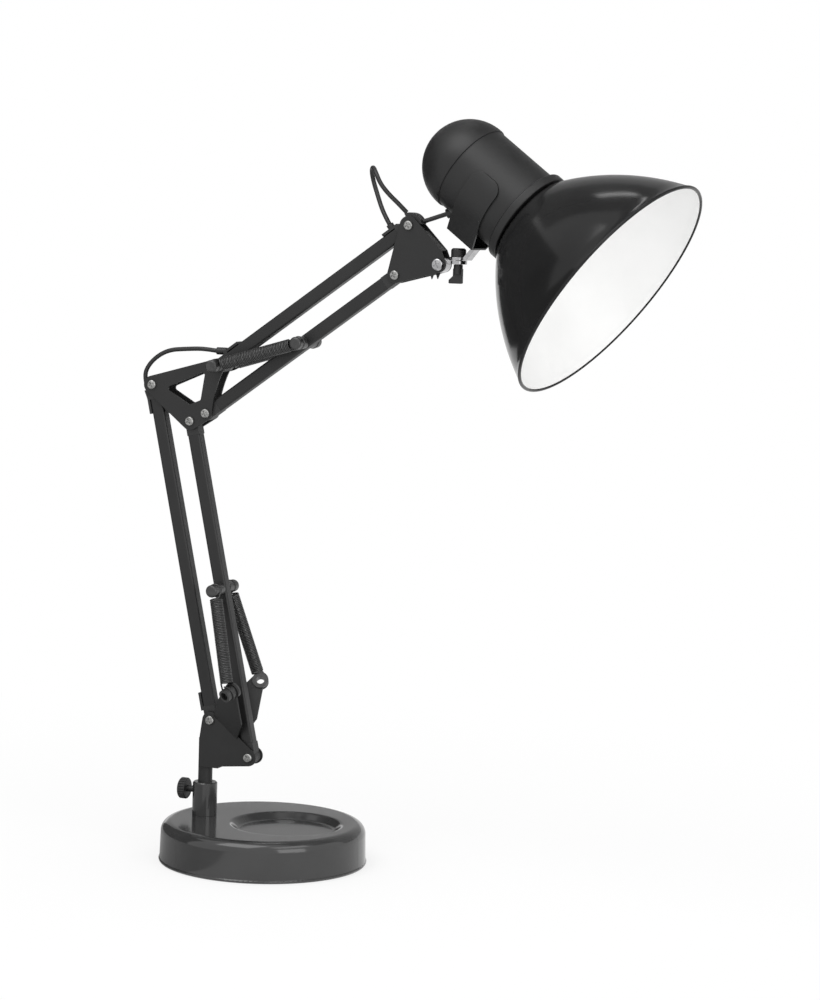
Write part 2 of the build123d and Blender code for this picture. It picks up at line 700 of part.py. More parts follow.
def head_bracket():
    """Folded head bracket: two cheeks, a web along the front edge and a pointed tab at the foot."""
    corner = plus(Q3, WEB_CORNER)
    cheek = hull([(Q3, HEAD_TOP_BOSS), (Q4, HEAD_LOW_BOSS), (TILT, HEAD_TILT_BOSS)], [corner])
    tab_tip = (TILT[0] - TAB_TIP, TILT[1] - TAB_DROP)
    tab_root = (TILT[0] - TAB_WIDTH, TILT[1] - TAB_ROOT)
    cheek += make_face(Polyline(tab_tip, TILT, tab_root, close=True))
    for pivot in (Q3, Q4):
        cheek -= Pos(*pivot) * Circle(PIVOT_RADIUS + FIT)
    cheek -= Pos(*TILT) * Circle(TILT_RADIUS + FIT)
    bracket = side_plate(cheek, -CHEEK_OUT, -CHEEK_IN) + side_plate(cheek, CHEEK_IN, CHEEK_OUT)
    start = turned(HEAD_TOP_BOSS - SHEET, 45)
    run = (corner[0] - Q3[0] - start[0], corner[1] - Q3[1] - start[1])
    length = hypot(*run)
    along = (run[0] / length, run[1] / length)
    inward = (along[1] * SHEET, -along[0] * SHEET)
    top = plus(plus(Q3, start), (along[0] * WEB_TOP, along[1] * WEB_TOP))
    web = make_face(Polyline(top, corner, plus(corner, inward), plus(top, inward), close=True))
    return bracket + side_plate(web, -CHEEK_OUT, CHEEK_OUT)


def flex_guide():
    """Curved plastic guide over the top pivot that the flex passes through."""
    ring = Circle(GUIDE_OUTER) - Circle(GUIDE_INNER)
    reach = GUIDE_OUTER * 3
    middle = (GUIDE_LOW + GUIDE_HIGH) / 2
    wedge = make_face(Polyline((0, 0), turned(reach, GUIDE_LOW), turned(reach * 2, middle),
                               turned(reach, GUIDE_HIGH), close=True))
    half = CHEEK_IN - MOVE
    return side_plate(Pos(*Q3) * (ring & wedge), -half, half)


def knuckle_link():
    """Plated link: an eye on the tilt screw and a flat boss under the pan arm."""
    top = PAN[1] - MOVE / 2
    eye = y_rod(TILT, KNUCKLE_EYE, -EYE_HALF, EYE_HALF)
    arm = block(TILT[0], PAN[0], -TUBE / 2, TUBE / 2, top - KNUCKLE_PLATE, top)
    boss = z_rod(PAN[0], 0, PAN_BOSS, top - KNUCKLE_PLATE, top)
    link = eye + arm + boss
    link -= y_rod(TILT, TILT_RADIUS + RUN, -TUBE, TUBE)
    return link - z_rod(PAN[0], 0, PAN_BOLT + RUN, top - 2 * KNUCKLE_PLATE, top + THROUGH)


def wing_screw():
    """Pan bolt with a flat thumb piece below, with a toe on one side."""
    seat = PAN[1] - MOVE / 2 - KNUCKLE_PLATE - MOVE
    foot = seat - WING_LENGTH
    screw = z_rod(PAN[0], 0, PAN_BOLT, seat, PAN[1] + PAN_PLATE + CAP_HEIGHT * 0.7)
    screw += z_rod(PAN[0], 0, WING_HUB, seat - WING_LENGTH / 2, seat)
    grip = make_face(Polyline(
        (PAN[0] - WING_HUB, seat - WING_ROOT),
        (PAN[0] + WING_HUB, seat - WING_ROOT),
        (PAN[0] + WING_HUB, foot),
        (PAN[0] - WING_TOE, foot),
        (PAN[0] - WING_TOE, foot + WING_TOE_HEIGHT),
        (PAN[0] - WING_HUB, foot + WING_INSTEP),
        close=True,
    ))
    grip = fillet(grip.vertices().sort_by(Axis.Y)[:4], EDGE)
    return screw + side_plate(grip, -WING_THICKNESS / 2, WING_THICKNESS / 2)


# Head, drawn with the pan at zero and then turned about the pan axis

def head_frame():
    """Plane at the centre of the dome: Z along the lamp's axis, X square to it and downward."""
    axis = Vector(cos(radians(HEAD_DEPRESSION)), 0, -sin(radians(HEAD_DEPRESSION)))
    down = Vector(-sin(radians(HEAD_DEPRESSION)), 0, -cos(radians(HEAD_DEPRESSION)))
    return Plane(origin=(HEAD_O[0], 0, HEAD_O[1]), x_dir=down, z_dir=axis)


PAN_TURN = Pos(PAN[0], 0, 0) * Rot(0, 0, HEAD_PAN) * Pos(-PAN[0], 0, 0)


def on_head(part):
    """Place a piece drawn about Z on the head."""
    return PAN_TURN * head_frame().location * part


def head_point(down, station):
    """Side-view point on the head before it is panned."""
    place = head_frame().from_local_coords(Vector(down, 0, station))
    return (place.X, place.Z)


def head_cap():
    """Domed cap over the end of the head tube, with a rounded edge."""
    inner = HEAD_RADIUS + FIT
    outer = inner + DOME_WALL
    lip = DOME_START + DOME_LIP
    skirt = z_rod(0, 0, outer, DOME_START, lip)
    skirt = fillet(skirt.edges().sort_by(Axis.Z)[-1], DOME_EDGE)
    shell = Pos(0, 0, DOME_START) * Sphere(outer) - z_rod(0, 0, outer + THROUGH, DOME_START, outer)
    hollow = Pos(0, 0, DOME_START) * Sphere(inner) + z_rod(0, 0, inner, DOME_START, outer)
    return on_head(shell + skirt - hollow)


def head_tube():
    """Painted tube round the lampholder, with a hole for the grommet."""
    tube = z_rod(0, 0, HEAD_RADIUS, DOME_START, TUBE_END)
    tube -= z_rod(0, 0, HEAD_RADIUS - HEAD_WALL, DOME_START, TUBE_END)
    return on_head(tube) - grommet_rod(GROMMET_NECK_RADIUS + FIT, 2 * GROMMET_LENGTH)


def collar_ring():
    """Ring at the mouth of the head tube, with a plate for the lampholder and a neck against the shade."""
    ring = z_rod(0, 0, COLLAR_RADIUS, COLLAR_START, COLLAR_END)
    ring = fillet(ring.edges().filter_by(GeomType.CIRCLE), COLLAR_ROUND)
    ring += z_rod(0, 0, NECK_RADIUS, COLLAR_END - COLLAR_PLATE, COLLAR_END + NECK_LENGTH)
    ring -= z_rod(0, 0, HEAD_RADIUS + FIT, 0, TUBE_END)
    return on_head(ring - z_rod(0, 0, HOLDER_RADIUS + FIT, 0, HOLDER_END))


def shade():
    """Spun shade: flat ring at the neck, bowl wall and a rolled rim."""
    top = COLLAR_END + NECK_LENGTH
    hole = HOLDER_RADIUS + FIT
    neck = (SHADE_NECK, top)
    bulge = (SHADE_BULGE[1], SHADE_BULGE[0])
    rim = (SHADE_RIM_RADIUS, SHADE_RIM)
    bowl = ThreePointArc(neck, bulge, rim)
    centre = bowl.arc_center
    radius = bowl.radius - SHADE_WALL
    inner_bulge = centre + (Vector(*bulge) - centre).normalized() * radius
    inner_rim = centre + (Vector(*rim) - centre).normalized() * radius
    under = top + SHADE_WALL
    inner_neck = (centre.X + sqrt(radius ** 2 - (under - centre.Y) ** 2), under)
    outline = [
        Line((hole, top), neck),
        bowl,
        Line(rim, inner_rim),
        ThreePointArc(inner_rim, inner_bulge, inner_neck),
        Line(inner_neck, (hole, under)),
        Line((hole, under), (hole, top)),
    ]
    bowl_solid = revolve(Plane.XZ * make_face(outline), Axis.Z)
    bead = Pos(0, 0, SHADE_RIM) * Torus(SHADE_RIM_RADIUS - SHADE_WALL / 2, RIM_BEAD)
    return on_head(bowl_solid + bead)


def lampholder():
    """Lampholder body with a shoulder behind the collar plate and a bore for the screw shell."""
    body = z_rod(0, 0, HOLDER_RADIUS, HOLDER_START, HOLDER_END)
    body += z_rod(0, 0, HOLDER_SHOULDER, HOLDER_START + HOLDER_STEP, TUBE_END)
    body -= z_rod(0, 0, SHELL_BORE + SHELL_WALL + FIT, HOLDER_END - SHELL_DEPTH, HOLDER_END)
    return on_head(body)


def lamp_contacts():
    """Brass screw shell in the lampholder, open towards the shade, and the centre contact on its floor."""
    floor = HOLDER_END - SHELL_DEPTH
    low = floor + SHELL_LIFT
    shell = z_rod(0, 0, SHELL_BORE + SHELL_WALL, low, HOLDER_END) - z_rod(0, 0, SHELL_BORE, low, HOLDER_END)
    contact = z_rod(0, 0, CONTACT_RADIUS, floor, floor + CONTACT_HEIGHT)
    contact = fillet(contact.edges().sort_by(Axis.Z)[-1], CONTACT_HEIGHT / 3)
    return on_head(Part() + [shell, contact])


def shade_ring():
    """Ring nut on the lampholder that clamps the shade to the collar."""
    low = COLLAR_END + NECK_LENGTH + SHADE_WALL
    ring = z_rod(0, 0, RING_RADIUS, low, low + RING_HEIGHT)
    ring = chamfer(ring.edges().sort_by(Axis.Z)[-1], EDGE)
    return on_head(ring - z_rod(0, 0, HOLDER_RADIUS + FIT, low, low + RING_HEIGHT))


def saddle_strap():
    """Saddle under the head tube: two ears round its sides and a flat base below it."""
    inner_radius = HEAD_RADIUS + 2 * FIT
    outer_radius = inner_radius + STRAP_SHEET
    half = STRAP_BASE / 2
    low = STRAP_DROP - STRAP_SHEET
    outer = hull([((0, 0), outer_radius)], [(STRAP_DROP - CORNER, -half), (STRAP_DROP - CORNER, half)])
    inside = half - STRAP_SHEET
    inner = hull([((0, 0), inner_radius)], [(low - CORNER, -inside), (low - CORNER, inside)])
    band = extrude(Plane.XY.offset(STRAP_START) * (outer - inner), STRAP_END - STRAP_START)
    length = STRAP_END - STRAP_START
    depth = STRAP_DROP + STRAP_EAR + STRAP_ROUND
    face = Pos((STRAP_DROP + STRAP_ROUND - STRAP_EAR) / 2, (STRAP_START + STRAP_END) / 2)
    side = side_plate(face * RectangleRounded(depth, length, STRAP_ROUND), -COLLAR_RADIUS, COLLAR_RADIUS)
    return on_head(band & side)


def pan_arm():
    """Plated arm from the strap's base down to a flat boss on the pan bolt."""
    low = PAN[1] + MOVE / 2
    high = low + PAN_PLATE
    boss = z_rod(PAN[0], 0, PAN_BOSS, low, high)
    inside = head_point(STRAP_DROP, STRAP_END - PAN_STRIP - PAN_STRIP_EDGE)
    outside = head_point(STRAP_DROP, STRAP_END - PAN_STRIP_EDGE)
    root = PAN[0] + CAP_RADIUS + PAN_ROOT_GAP
    strip = make_face(Polyline(
        (root, low), (root, high), inside, outside, (root + PAN_HEEL, low), close=True))
    arm = boss + side_plate(strip, -TUBE / 2, TUBE / 2)
    return PAN_TURN * (arm - z_rod(PAN[0], 0, PAN_BOLT + RUN, low - THROUGH, high + THROUGH))


def cap_nut():
    """Round cap nut on top of the pan bolt."""
    low = PAN[1] + MOVE / 2 + PAN_PLATE
    cap = z_rod(PAN[0], 0, CAP_RADIUS, low, low + CAP_HEIGHT)
    cap = fillet(cap.edges().sort_by(Axis.Z)[-1], CAP_ROUND)
    return PAN_TURN * (cap - z_rod(PAN[0], 0, PAN_BOLT + RUN, low, low + CAP_HEIGHT * 0.75))


def grommet_place():
    """Outer end of the grommet on the panned head."""
    x, z = head_point(GROMMET_REACH, GROMMET_STATION)
    return (PAN_TURN * Pos(x, 0, z)).position


def tail_way():
    """Way of the straight flex tail, from the top pivot to the grommet."""
    return (grommet_place() - Vector(Q3[0], 0, Q3[1])).normalized()


def flex_tail(low_share, high_share):
    """Length of the flex tail between the guide and the grommet, given as shares of the way."""
    way = tail_way()
    start = Vector(Q3[0], 0, Q3[1]) + way * (GUIDE_OUTER + 2 * FIT)
    span = (grommet_place() - start).length - FIT
    low = Plane(origin=start + way * (span * low_share), z_dir=way)
    return extrude(low * Circle(FLEX / 2), span * (high_share - low_share))


def grommet_rod(radius, reach):
    """Rod along the flex tail from the grommet's end into the head."""
    return extrude(Plane(origin=grommet_place(), z_dir=tail_way()) * Circle(radius), reach)


def flex_grommet():
    """Rubber grommet where the flex enters the head tube."""
    lip = DOME_START + DOME_LIP
    outside = grommet_rod(GROMMET_RADIUS, GROMMET_LENGTH)
    outside -= on_head(z_rod(0, 0, HEAD_RADIUS + FIT, -BEHIND, TUBE_END))
    outside -= on_head(z_rod(0, 0, HEAD_RADIUS + 2 * FIT + DOME_WALL, -BEHIND, lip + FIT))
    wall = z_rod(0, 0, HEAD_RADIUS + HEAD_WALL, lip, TUBE_END)
    wall -= z_rod(0, 0, HEAD_RADIUS - HEAD_WALL, lip, TUBE_END)
    return outside + (grommet_rod(GROMMET_NECK_RADIUS, GROMMET_NECK_LENGTH) & on_head(wall))


# Flex

def flex_tube(name, points):
    """Flex along straight runs joined by arcs as large as the runs allow."""
    places = [Vector(*p) for p in points]
    radii = []
    for a, b, c in zip(places, places[1:], places[2:]):
        half_turn = radians((b - a).get_angle(c - b)) / 2
        radii.append(0.45 * min((b - a).length, (c - b).length) / tan(half_turn))
    path = FilletPolyline(*points, radius=radii)
    section = Plane(origin=path @ 0, z_dir=path % 0) * Circle(FLEX / 2)
    tube = sweep(section, path=path)
    share = tube.volume / (pi * (FLEX / 2) ** 2 * path.length)
    listed = " ".join(f"{radius:.1f}" for radius in radii)
    print(f"{name}: length {path.length:.1f}, volume share {share:.4f}, radii {listed}")
    return tube


# Flex routes: points chosen by hand along the loops, from the pivots nearest to them
ELBOW_SPLIT = (-37.3, 10.42)
ELBOW_UPPER_BENDS = ((-12.0, 11.6), (-22.5, 11.8))
ELBOW_LOWER_BENDS = ((11.4, 27.0), (1.4, 22.2), (-6.6, 14.6), (-10.2, 5.6))
HEAD_BENDS = (
    (-21.5, 1.0, 6.0),
    (-26.5, 5.0, 13.0),
    (-31.5, 9.0, 22.5),
    (-35.5, 10.5, 32.0),
    (-35.3, 5.5, 40.0),
    (-31.0, -2.5, 42.6),
    (-26.0, -9.5, 38.0),
    (-21.7, -10.5, 29.8),
    (-16.0, -6.5, 22.0),
    (-9.8, -2.3, 15.5),
)
GUIDE_ENTRY = 114.0
GUIDE_GAP = 0.65


def elbow_route_upper():
    """Flex from the stub on the upper arm to a point over the elbow plates."""
    (x, z), way = stub_end(Q1, UPPER_RISE, ELBOW_STUB)
    first = (x + FLEX_GAP * way[0], 0, z + FLEX_GAP * way[1])
    bends = [(Q1[0] + x, 0, Q1[1] + z) for x, z in (*ELBOW_UPPER_BENDS, ELBOW_SPLIT)]
    return [first, *bends]


def elbow_route_lower():
    """Flex from the point over the elbow plates to the stub on the lower arm."""
    (x, z), way = stub_end(P1, LOWER_ANGLE, REAR_STUB, LOWER_LENGTH)
    last = (x + FLEX_GAP * way[0], 0, z + FLEX_GAP * way[1])
    bends = [(P3[0] + x, 0, P3[1] + z) for x, z in ELBOW_LOWER_BENDS]
    return [elbow_route_upper()[-1], *bends, last]


def head_route():
    """Flex from the stub on the upper arm, round its loop and on to the guide."""
    (x, z), way = stub_end(Q1, UPPER_RISE, HEAD_STUB, UPPER_LENGTH)
    first = (x + FLEX_GAP * way[0], 0, z + FLEX_GAP * way[1])
    bends = [(Q3[0] + x, y, Q3[1] + z) for x, y, z in HEAD_BENDS]
    x, z = plus(Q3, turned(GUIDE_OUTER + GUIDE_GAP, GUIDE_ENTRY))
    return [first, *bends, (x, 0, z)]


def build():
    """Make every node as {name: solid}."""
    lower_rear = bar_place(P1, LOWER_ANGLE)
    lower_front = bar_place(P2, LOWER_ANGLE)
    upper_top = bar_place(Q1, UPPER_RISE)
    upper_low = bar_place(Q2, UPPER_RISE)
    hole = PIVOT_RADIUS + RUN
    loose = PIVOT_RADIUS + OPEN_RUN
    pin_hole = PIN_RADIUS + RUN
    nodes = {
        "base_cover": base_cover(),
        "base_ballast": base_ballast(),
        "base_pad": base_pad(),
        "post_socket": post_socket(),
        "post_nut": post_nut(),
        "cable_gland": cable_gland(),
        "thumb_screw": thumb_screw(),
        "swivel_spigot": swivel_spigot(),
        "lower_bracket": lower_bracket(),
        "ear_bushes": ear_bushes(),
        "lower_pivot_screws": Part() + [pivot_screw(P1), pivot_screw(P2)],
        "lower_pivot_nuts": Part() + [pivot_nut(P1), pivot_nut(P2)],
        "lower_spring_near": lower_spring(-1),
        "lower_spring_far": lower_spring(1),
        "lower_rear_tube": lower_rear * bar_tube(LOWER_LENGTH),
        "lower_rear_foot": lower_rear * bar_end(hole, lip=True),
        "lower_rear_head": lower_rear * far_end(bar_end(hole, lip=True, stub=REAR_STUB), LOWER_LENGTH),
        "lower_rear_flex": lower_rear * flex_in_tube(LOWER_LENGTH),
        "lower_front_tube": lower_front * bar_tube(LOWER_LENGTH, LOWER_PIN_REACH),
        "lower_front_foot": lower_front * bar_end(hole),
        "lower_front_head": lower_front * far_end(bar_end(loose), LOWER_LENGTH),
        "lower_spring_pin": spring_pin(LOWER_PIN, TUBE / 2 + FIT),
        "elbow_plate_near": elbow_plate(-1),
        "elbow_plate_far": elbow_plate(1),
        "elbow_screws": Part() + [pivot_screw(p) for p in (P3, P4, Q2)],
        "elbow_nuts": Part() + [pivot_nut(p) for p in (P3, P4, Q2)],
        "elbow_spring_axle": spring_pin(Q1, CHEEK_OUT + FIT),
        "upper_spring_near": upper_spring(-1),
        "upper_spring_far": upper_spring(1),
        "elbow_flex_upper": flex_tube("elbow_flex_upper", elbow_route_upper()),
        "elbow_flex_lower": flex_tube("elbow_flex_lower", elbow_route_lower()),
        "upper_top_tube": upper_top * bar_tube(UPPER_LENGTH),
        "upper_top_foot": upper_top * bar_end(pin_hole, lip=True, stub=ELBOW_STUB),
        "upper_top_head": upper_top * far_end(bar_end(hole, lip=True, stub=HEAD_STUB), UPPER_LENGTH),
        "upper_top_flex": upper_top * flex_in_tube(UPPER_LENGTH),
        "upper_low_tube": upper_low * bar_tube(UPPER_LENGTH, UPPER_PIN_REACH),
        "upper_low_foot": upper_low * bar_end(hole),
        "upper_low_head": upper_low * far_end(bar_end(loose), UPPER_LENGTH),
        "upper_spring_pin": spring_pin(UPPER_PIN, TUBE / 2 + FIT),
        "head_bracket": head_bracket(),
        "head_pivot_screws": Part() + [pivot_screw(Q3), pivot_screw(Q4)],
        "head_nuts": Part() + [pivot_nut(Q3), pivot_nut(Q4), pivot_nut(TILT, TILT_RADIUS, NUT_FLATS + 1)],
        "tilt_screw": pivot_screw(TILT, TILT_RADIUS, TILT_HEAD_RADIUS, TILT_HEAD_HEIGHT),
        "flex_guide": flex_guide(),
        "head_flex_loop": flex_tube("head_flex_loop", head_route()),
        "flex_tail_lower": flex_tail(0.0, 0.5),
        "knuckle_link": knuckle_link(),
        "wing_screw": wing_screw(),
        "cap_nut": cap_nut(),
        "pan_arm": pan_arm(),
        "saddle_strap": saddle_strap(),
        "head_tube": head_tube(),
        "head_cap": head_cap(),
        "collar_ring": collar_ring(),
        "shade": shade(),
        "lampholder": lampholder(),
        "lamp_contacts": lamp_contacts(),
        "shade_ring": shade_ring(),
        "flex_grommet": flex_grommet(),
        "flex_tail_upper": flex_tail(0.5, 1.0),
    }
    return nodes


os.makedirs("parts", exist_ok=True)
for node_name, node_solid in build().items():
    export_step(node_solid, f"parts/{node_name}.step")
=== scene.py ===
"""Looks of an adjustable desk lamp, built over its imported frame.

The lamp stands on a weighted round base. Two pairs of square tubes carry a tilting head with a bowl
shade, springs balance the arms and a black flex runs along them. Everything is in metres, in the
frame of the solids: +Z up, the arm in the XZ plane and the head towards +X.
"""

import json
import logging
import math
from dataclasses import dataclass, field
from enum import Enum
from typing import Iterable, Sequence

import bpy
from mathutils import Matrix, Vector


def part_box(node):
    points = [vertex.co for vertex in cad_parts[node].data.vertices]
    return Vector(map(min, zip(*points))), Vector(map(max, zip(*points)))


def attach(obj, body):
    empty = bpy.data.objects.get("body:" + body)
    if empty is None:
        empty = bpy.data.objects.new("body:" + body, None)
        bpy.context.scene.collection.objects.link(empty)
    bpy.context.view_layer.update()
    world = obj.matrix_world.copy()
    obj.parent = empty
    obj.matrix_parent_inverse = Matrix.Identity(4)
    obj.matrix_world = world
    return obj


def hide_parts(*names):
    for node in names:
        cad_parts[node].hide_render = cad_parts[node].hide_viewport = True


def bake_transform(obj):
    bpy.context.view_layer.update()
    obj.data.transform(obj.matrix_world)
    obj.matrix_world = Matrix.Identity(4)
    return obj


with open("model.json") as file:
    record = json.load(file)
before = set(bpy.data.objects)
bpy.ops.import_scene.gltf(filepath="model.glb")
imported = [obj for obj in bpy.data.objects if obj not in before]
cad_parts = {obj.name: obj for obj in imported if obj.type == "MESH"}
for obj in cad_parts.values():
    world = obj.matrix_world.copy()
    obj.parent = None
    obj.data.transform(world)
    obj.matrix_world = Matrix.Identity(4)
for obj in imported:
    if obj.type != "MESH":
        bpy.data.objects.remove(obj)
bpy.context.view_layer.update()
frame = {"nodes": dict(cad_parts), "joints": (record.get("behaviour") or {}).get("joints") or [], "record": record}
LOG = logging.getLogger("desk_lamp")

MM = 0.001
FULL_TURN = 2.0 * math.pi
SHARP_ANGLE = math.radians(35.0)
SPIN_WELD = 1e-6
TUBE_WELD = 1e-7
FULL_WHITE = (1.0, 1.0, 1.0, 1.0)

Triple = tuple[float, float, float]
Pair = tuple[float, float]


class Side(Enum):
    """The two sides of the arm: the one in the picture and the one behind it."""

    NEAR = -1
    FAR = 1


def point(x: float, y: float, z: float) -> Vector:
    """A point in metres from millimetres."""
    return Vector((x * MM, y * MM, z * MM))


def deselect() -> None:
    """Leave edit mode and clear the selection."""
    if bpy.context.object and bpy.context.object.mode != "OBJECT":
        bpy.ops.object.mode_set(mode="OBJECT")
    bpy.ops.object.select_all(action="DESELECT")


def activate(piece: bpy.types.Object) -> None:
    """Make a piece the only selected object."""
    deselect()
    piece.select_set(True)
    bpy.context.view_layer.objects.active = piece


def settle(piece: bpy.types.Object, name: str) -> bpy.types.Object:
    """Name a finished piece, put its place in its mesh and smooth its edges below the sharp angle.

    Args:
        piece: The modelled object.
        name: Its name in the scene.

    Returns:
        The same object.
    """
    activate(piece)
    bpy.ops.object.transform_apply(location=True, rotation=True, scale=True)
    bpy.ops.object.shade_smooth_by_angle(angle=SHARP_ANGLE)
    piece.name = name
    piece.data.name = name
    return piece


def spin_profile(
    name: str, outline: Sequence[Pair], place: Matrix, steps: int
) -> bpy.types.Object:
    """Spin a closed outline of (radius, height) points about Z into a closed ring-shaped piece.

    Args:
        name: Name of the new object.
        outline: Points in metres, in order, not repeated at the end.
        place: Matrix that takes the local Z axis to its place.
        steps: Steps of the full turn.

    Returns:
        The spun object.
    """
    deselect()
    bpy.ops.mesh.primitive_plane_add(size=MM)
    piece = bpy.context.object
    bpy.ops.object.mode_set(mode="EDIT")
    bpy.ops.mesh.select_all(action="SELECT")
    bpy.ops.mesh.merge(type="CENTER")
    first = outline[0]
    bpy.ops.transform.translate(value=(first[0], 0.0, first[1]))
    for before, after in zip(outline, [*outline[1:], first]):
        step = (after[0] - before[0], 0.0, after[1] - before[1])
        bpy.ops.mesh.extrude_region_move(TRANSFORM_OT_translate={"value": step})
    bpy.ops.mesh.select_all(action="SELECT")
    bpy.ops.mesh.spin(
        steps=steps, angle=FULL_TURN, center=(0.0, 0.0, 0.0), axis=(0.0, 0.0, 1.0)
    )
    bpy.ops.mesh.select_all(action="SELECT")
    bpy.ops.mesh.remove_doubles(threshold=SPIN_WELD)
    bpy.ops.mesh.normals_make_consistent(inside=False)
    bpy.ops.object.mode_set(mode="OBJECT")
    piece.matrix_world = place
    return settle(piece, name)


def nurbs_line(
    name: str, points: Iterable[Vector], order: int = 3, resolution: int = 8
) -> bpy.types.Object:
    """Lay a bare smooth spline.

    Args:
        name: Name of the new object.
        points: Its control points, in order.
        order: Order of the spline.
        resolution: Steps between two control points.

    Returns:
        The spline.
    """
    data = bpy.data.curves.new(name, "CURVE")
    data.dimensions = "3D"
    data.resolution_u = resolution
    spline = data.splines.new("NURBS")
    places = list(points)
    spline.points.add(len(places) - 1)
    for control, place in zip(spline.points, places):
        control.co = (*place, 1.0)
    spline.order_u = order
    spline.use_endpoint_u = True
    line = bpy.data.objects.new(name, data)
    bpy.context.scene.collection.objects.link(line)
    return line


def line_points(line: bpy.types.Object) -> list[Vector]:
    """Points along a bare spline, in order."""
    shown = line.evaluated_get(bpy.context.evaluated_depsgraph_get())
    mesh = bpy.data.meshes.new_from_object(shown)
    places = [vertex.co.copy() for vertex in mesh.vertices]
    bpy.data.meshes.remove(mesh)
    return places


def tube_from_line(line: bpy.types.Object, radius: float, sides: int) -> bpy.types.Object:
    """Give a spline a round section with closed ends and make it a mesh.

    Args:
        line: The bare spline, which becomes the tube.
        radius: Radius of the tube in metres.
        sides: Resolution of its section.

    Returns:
        The tube.
    """
    line.data.bevel_depth = radius
    line.data.bevel_resolution = sides
    line.data.use_fill_caps = True
    activate(line)
    bpy.ops.object.convert(target="MESH")
    piece = bpy.context.object
    bpy.ops.object.mode_set(mode="EDIT")
    bpy.ops.mesh.select_all(action="SELECT")
    bpy.ops.mesh.remove_doubles(threshold=TUBE_WELD)
    bpy.ops.mesh.normals_make_consistent(inside=False)
    bpy.ops.object.mode_set(mode="OBJECT")
    return settle(piece, line.name)


class SurfaceGroups:
    """Shader node groups that the finishes share."""

    DEFAULT_SCALE = 100.0
    UNEVEN_DETAIL = 3.0
    PEEL_DETAIL = 1.0
    PEEL_FINER = 14.0
    MARKS_STRETCH = (1.0, 9.0, 2.0)
    MARKS_TURN = (0.4, 0.3, 0.7)
    MARKS_DETAIL = 4.0
    TONE_DETAIL = 2.0

    def __init__(self) -> None:
        """Build the groups once."""
        self.mottle = self.build_mottle()
        self.scuffs = self.build_scuffs()

    @classmethod
    def start(
        cls, name: str, outputs: Sequence[str]
    ) -> tuple[bpy.types.NodeTree, bpy.types.Node, bpy.types.Node]:
        """Make an empty group with a place and a scale going in.

        Args:
            name: Name of the group.
            outputs: Names of its value outputs.

        Returns:
            The tree with its input and output nodes.
        """
        tree = bpy.data.node_groups.new(name, "ShaderNodeTree")
        tree.interface.new_socket("Place", in_out="INPUT", socket_type="NodeSocketVector")
        scale = tree.interface.new_socket("Scale", in_out="INPUT", socket_type="NodeSocketFloat")
        scale.default_value = cls.DEFAULT_SCALE
        for output in outputs:
            tree.interface.new_socket(output, in_out="OUTPUT", socket_type="NodeSocketFloat")
        return tree, tree.nodes.new("NodeGroupInput"), tree.nodes.new("NodeGroupOutput")

    @staticmethod
    def noise(tree: bpy.types.NodeTree, detail: float) -> bpy.types.Node:
        """Add a noise texture with the given detail."""
        node = tree.nodes.new("ShaderNodeTexNoise")
        node.inputs["Detail"].default_value = detail
        return node

    @classmethod
    def build_mottle(cls) -> bpy.types.NodeTree:
        """Slow unevenness and fine orange peel of a sprayed or moulded surface."""
        tree, given, out = cls.start("uneven_surface", ("Uneven", "Peel"))
        slow = cls.noise(tree, cls.UNEVEN_DETAIL)
        fine = cls.noise(tree, cls.PEEL_DETAIL)
        times = tree.nodes.new("ShaderNodeMath")
        times.operation = "MULTIPLY"
        times.inputs[1].default_value = cls.PEEL_FINER
        tree.links.new(given.outputs["Place"], slow.inputs["Vector"])
        tree.links.new(given.outputs["Place"], fine.inputs["Vector"])
        tree.links.new(given.outputs["Scale"], slow.inputs["Scale"])
        tree.links.new(given.outputs["Scale"], times.inputs[0])
        tree.links.new(times.outputs[0], fine.inputs["Scale"])
        tree.links.new(slow.outputs["Fac"], out.inputs["Uneven"])
        tree.links.new(fine.outputs["Fac"], out.inputs["Peel"])
        return tree

    @classmethod
    def build_scuffs(cls) -> bpy.types.NodeTree:
        """Fine rub marks of plated and drawn metal, and slow changes of its tone."""
        tree, given, out = cls.start("rub_marks", ("Marks", "Tone"))
        stretch = tree.nodes.new("ShaderNodeMapping")
        stretch.inputs["Scale"].default_value = cls.MARKS_STRETCH
        stretch.inputs["Rotation"].default_value = cls.MARKS_TURN
        marks = cls.noise(tree, cls.MARKS_DETAIL)
        tone = cls.noise(tree, cls.TONE_DETAIL)
        tree.links.new(given.outputs["Place"], stretch.inputs["Vector"])
        tree.links.new(stretch.outputs["Vector"], marks.inputs["Vector"])
        tree.links.new(given.outputs["Place"], tone.inputs["Vector"])
        tree.links.new(given.outputs["Scale"], marks.inputs["Scale"])
        tree.links.new(given.outputs["Scale"], tone.inputs["Scale"])
        tree.links.new(marks.outputs["Fac"], out.inputs["Marks"])
        tree.links.new(tone.outputs["Fac"], out.inputs["Tone"])
        return tree


NOISE_LOW = 0.3
NOISE_HIGH = 0.7
EDGE_SAMPLES = 6


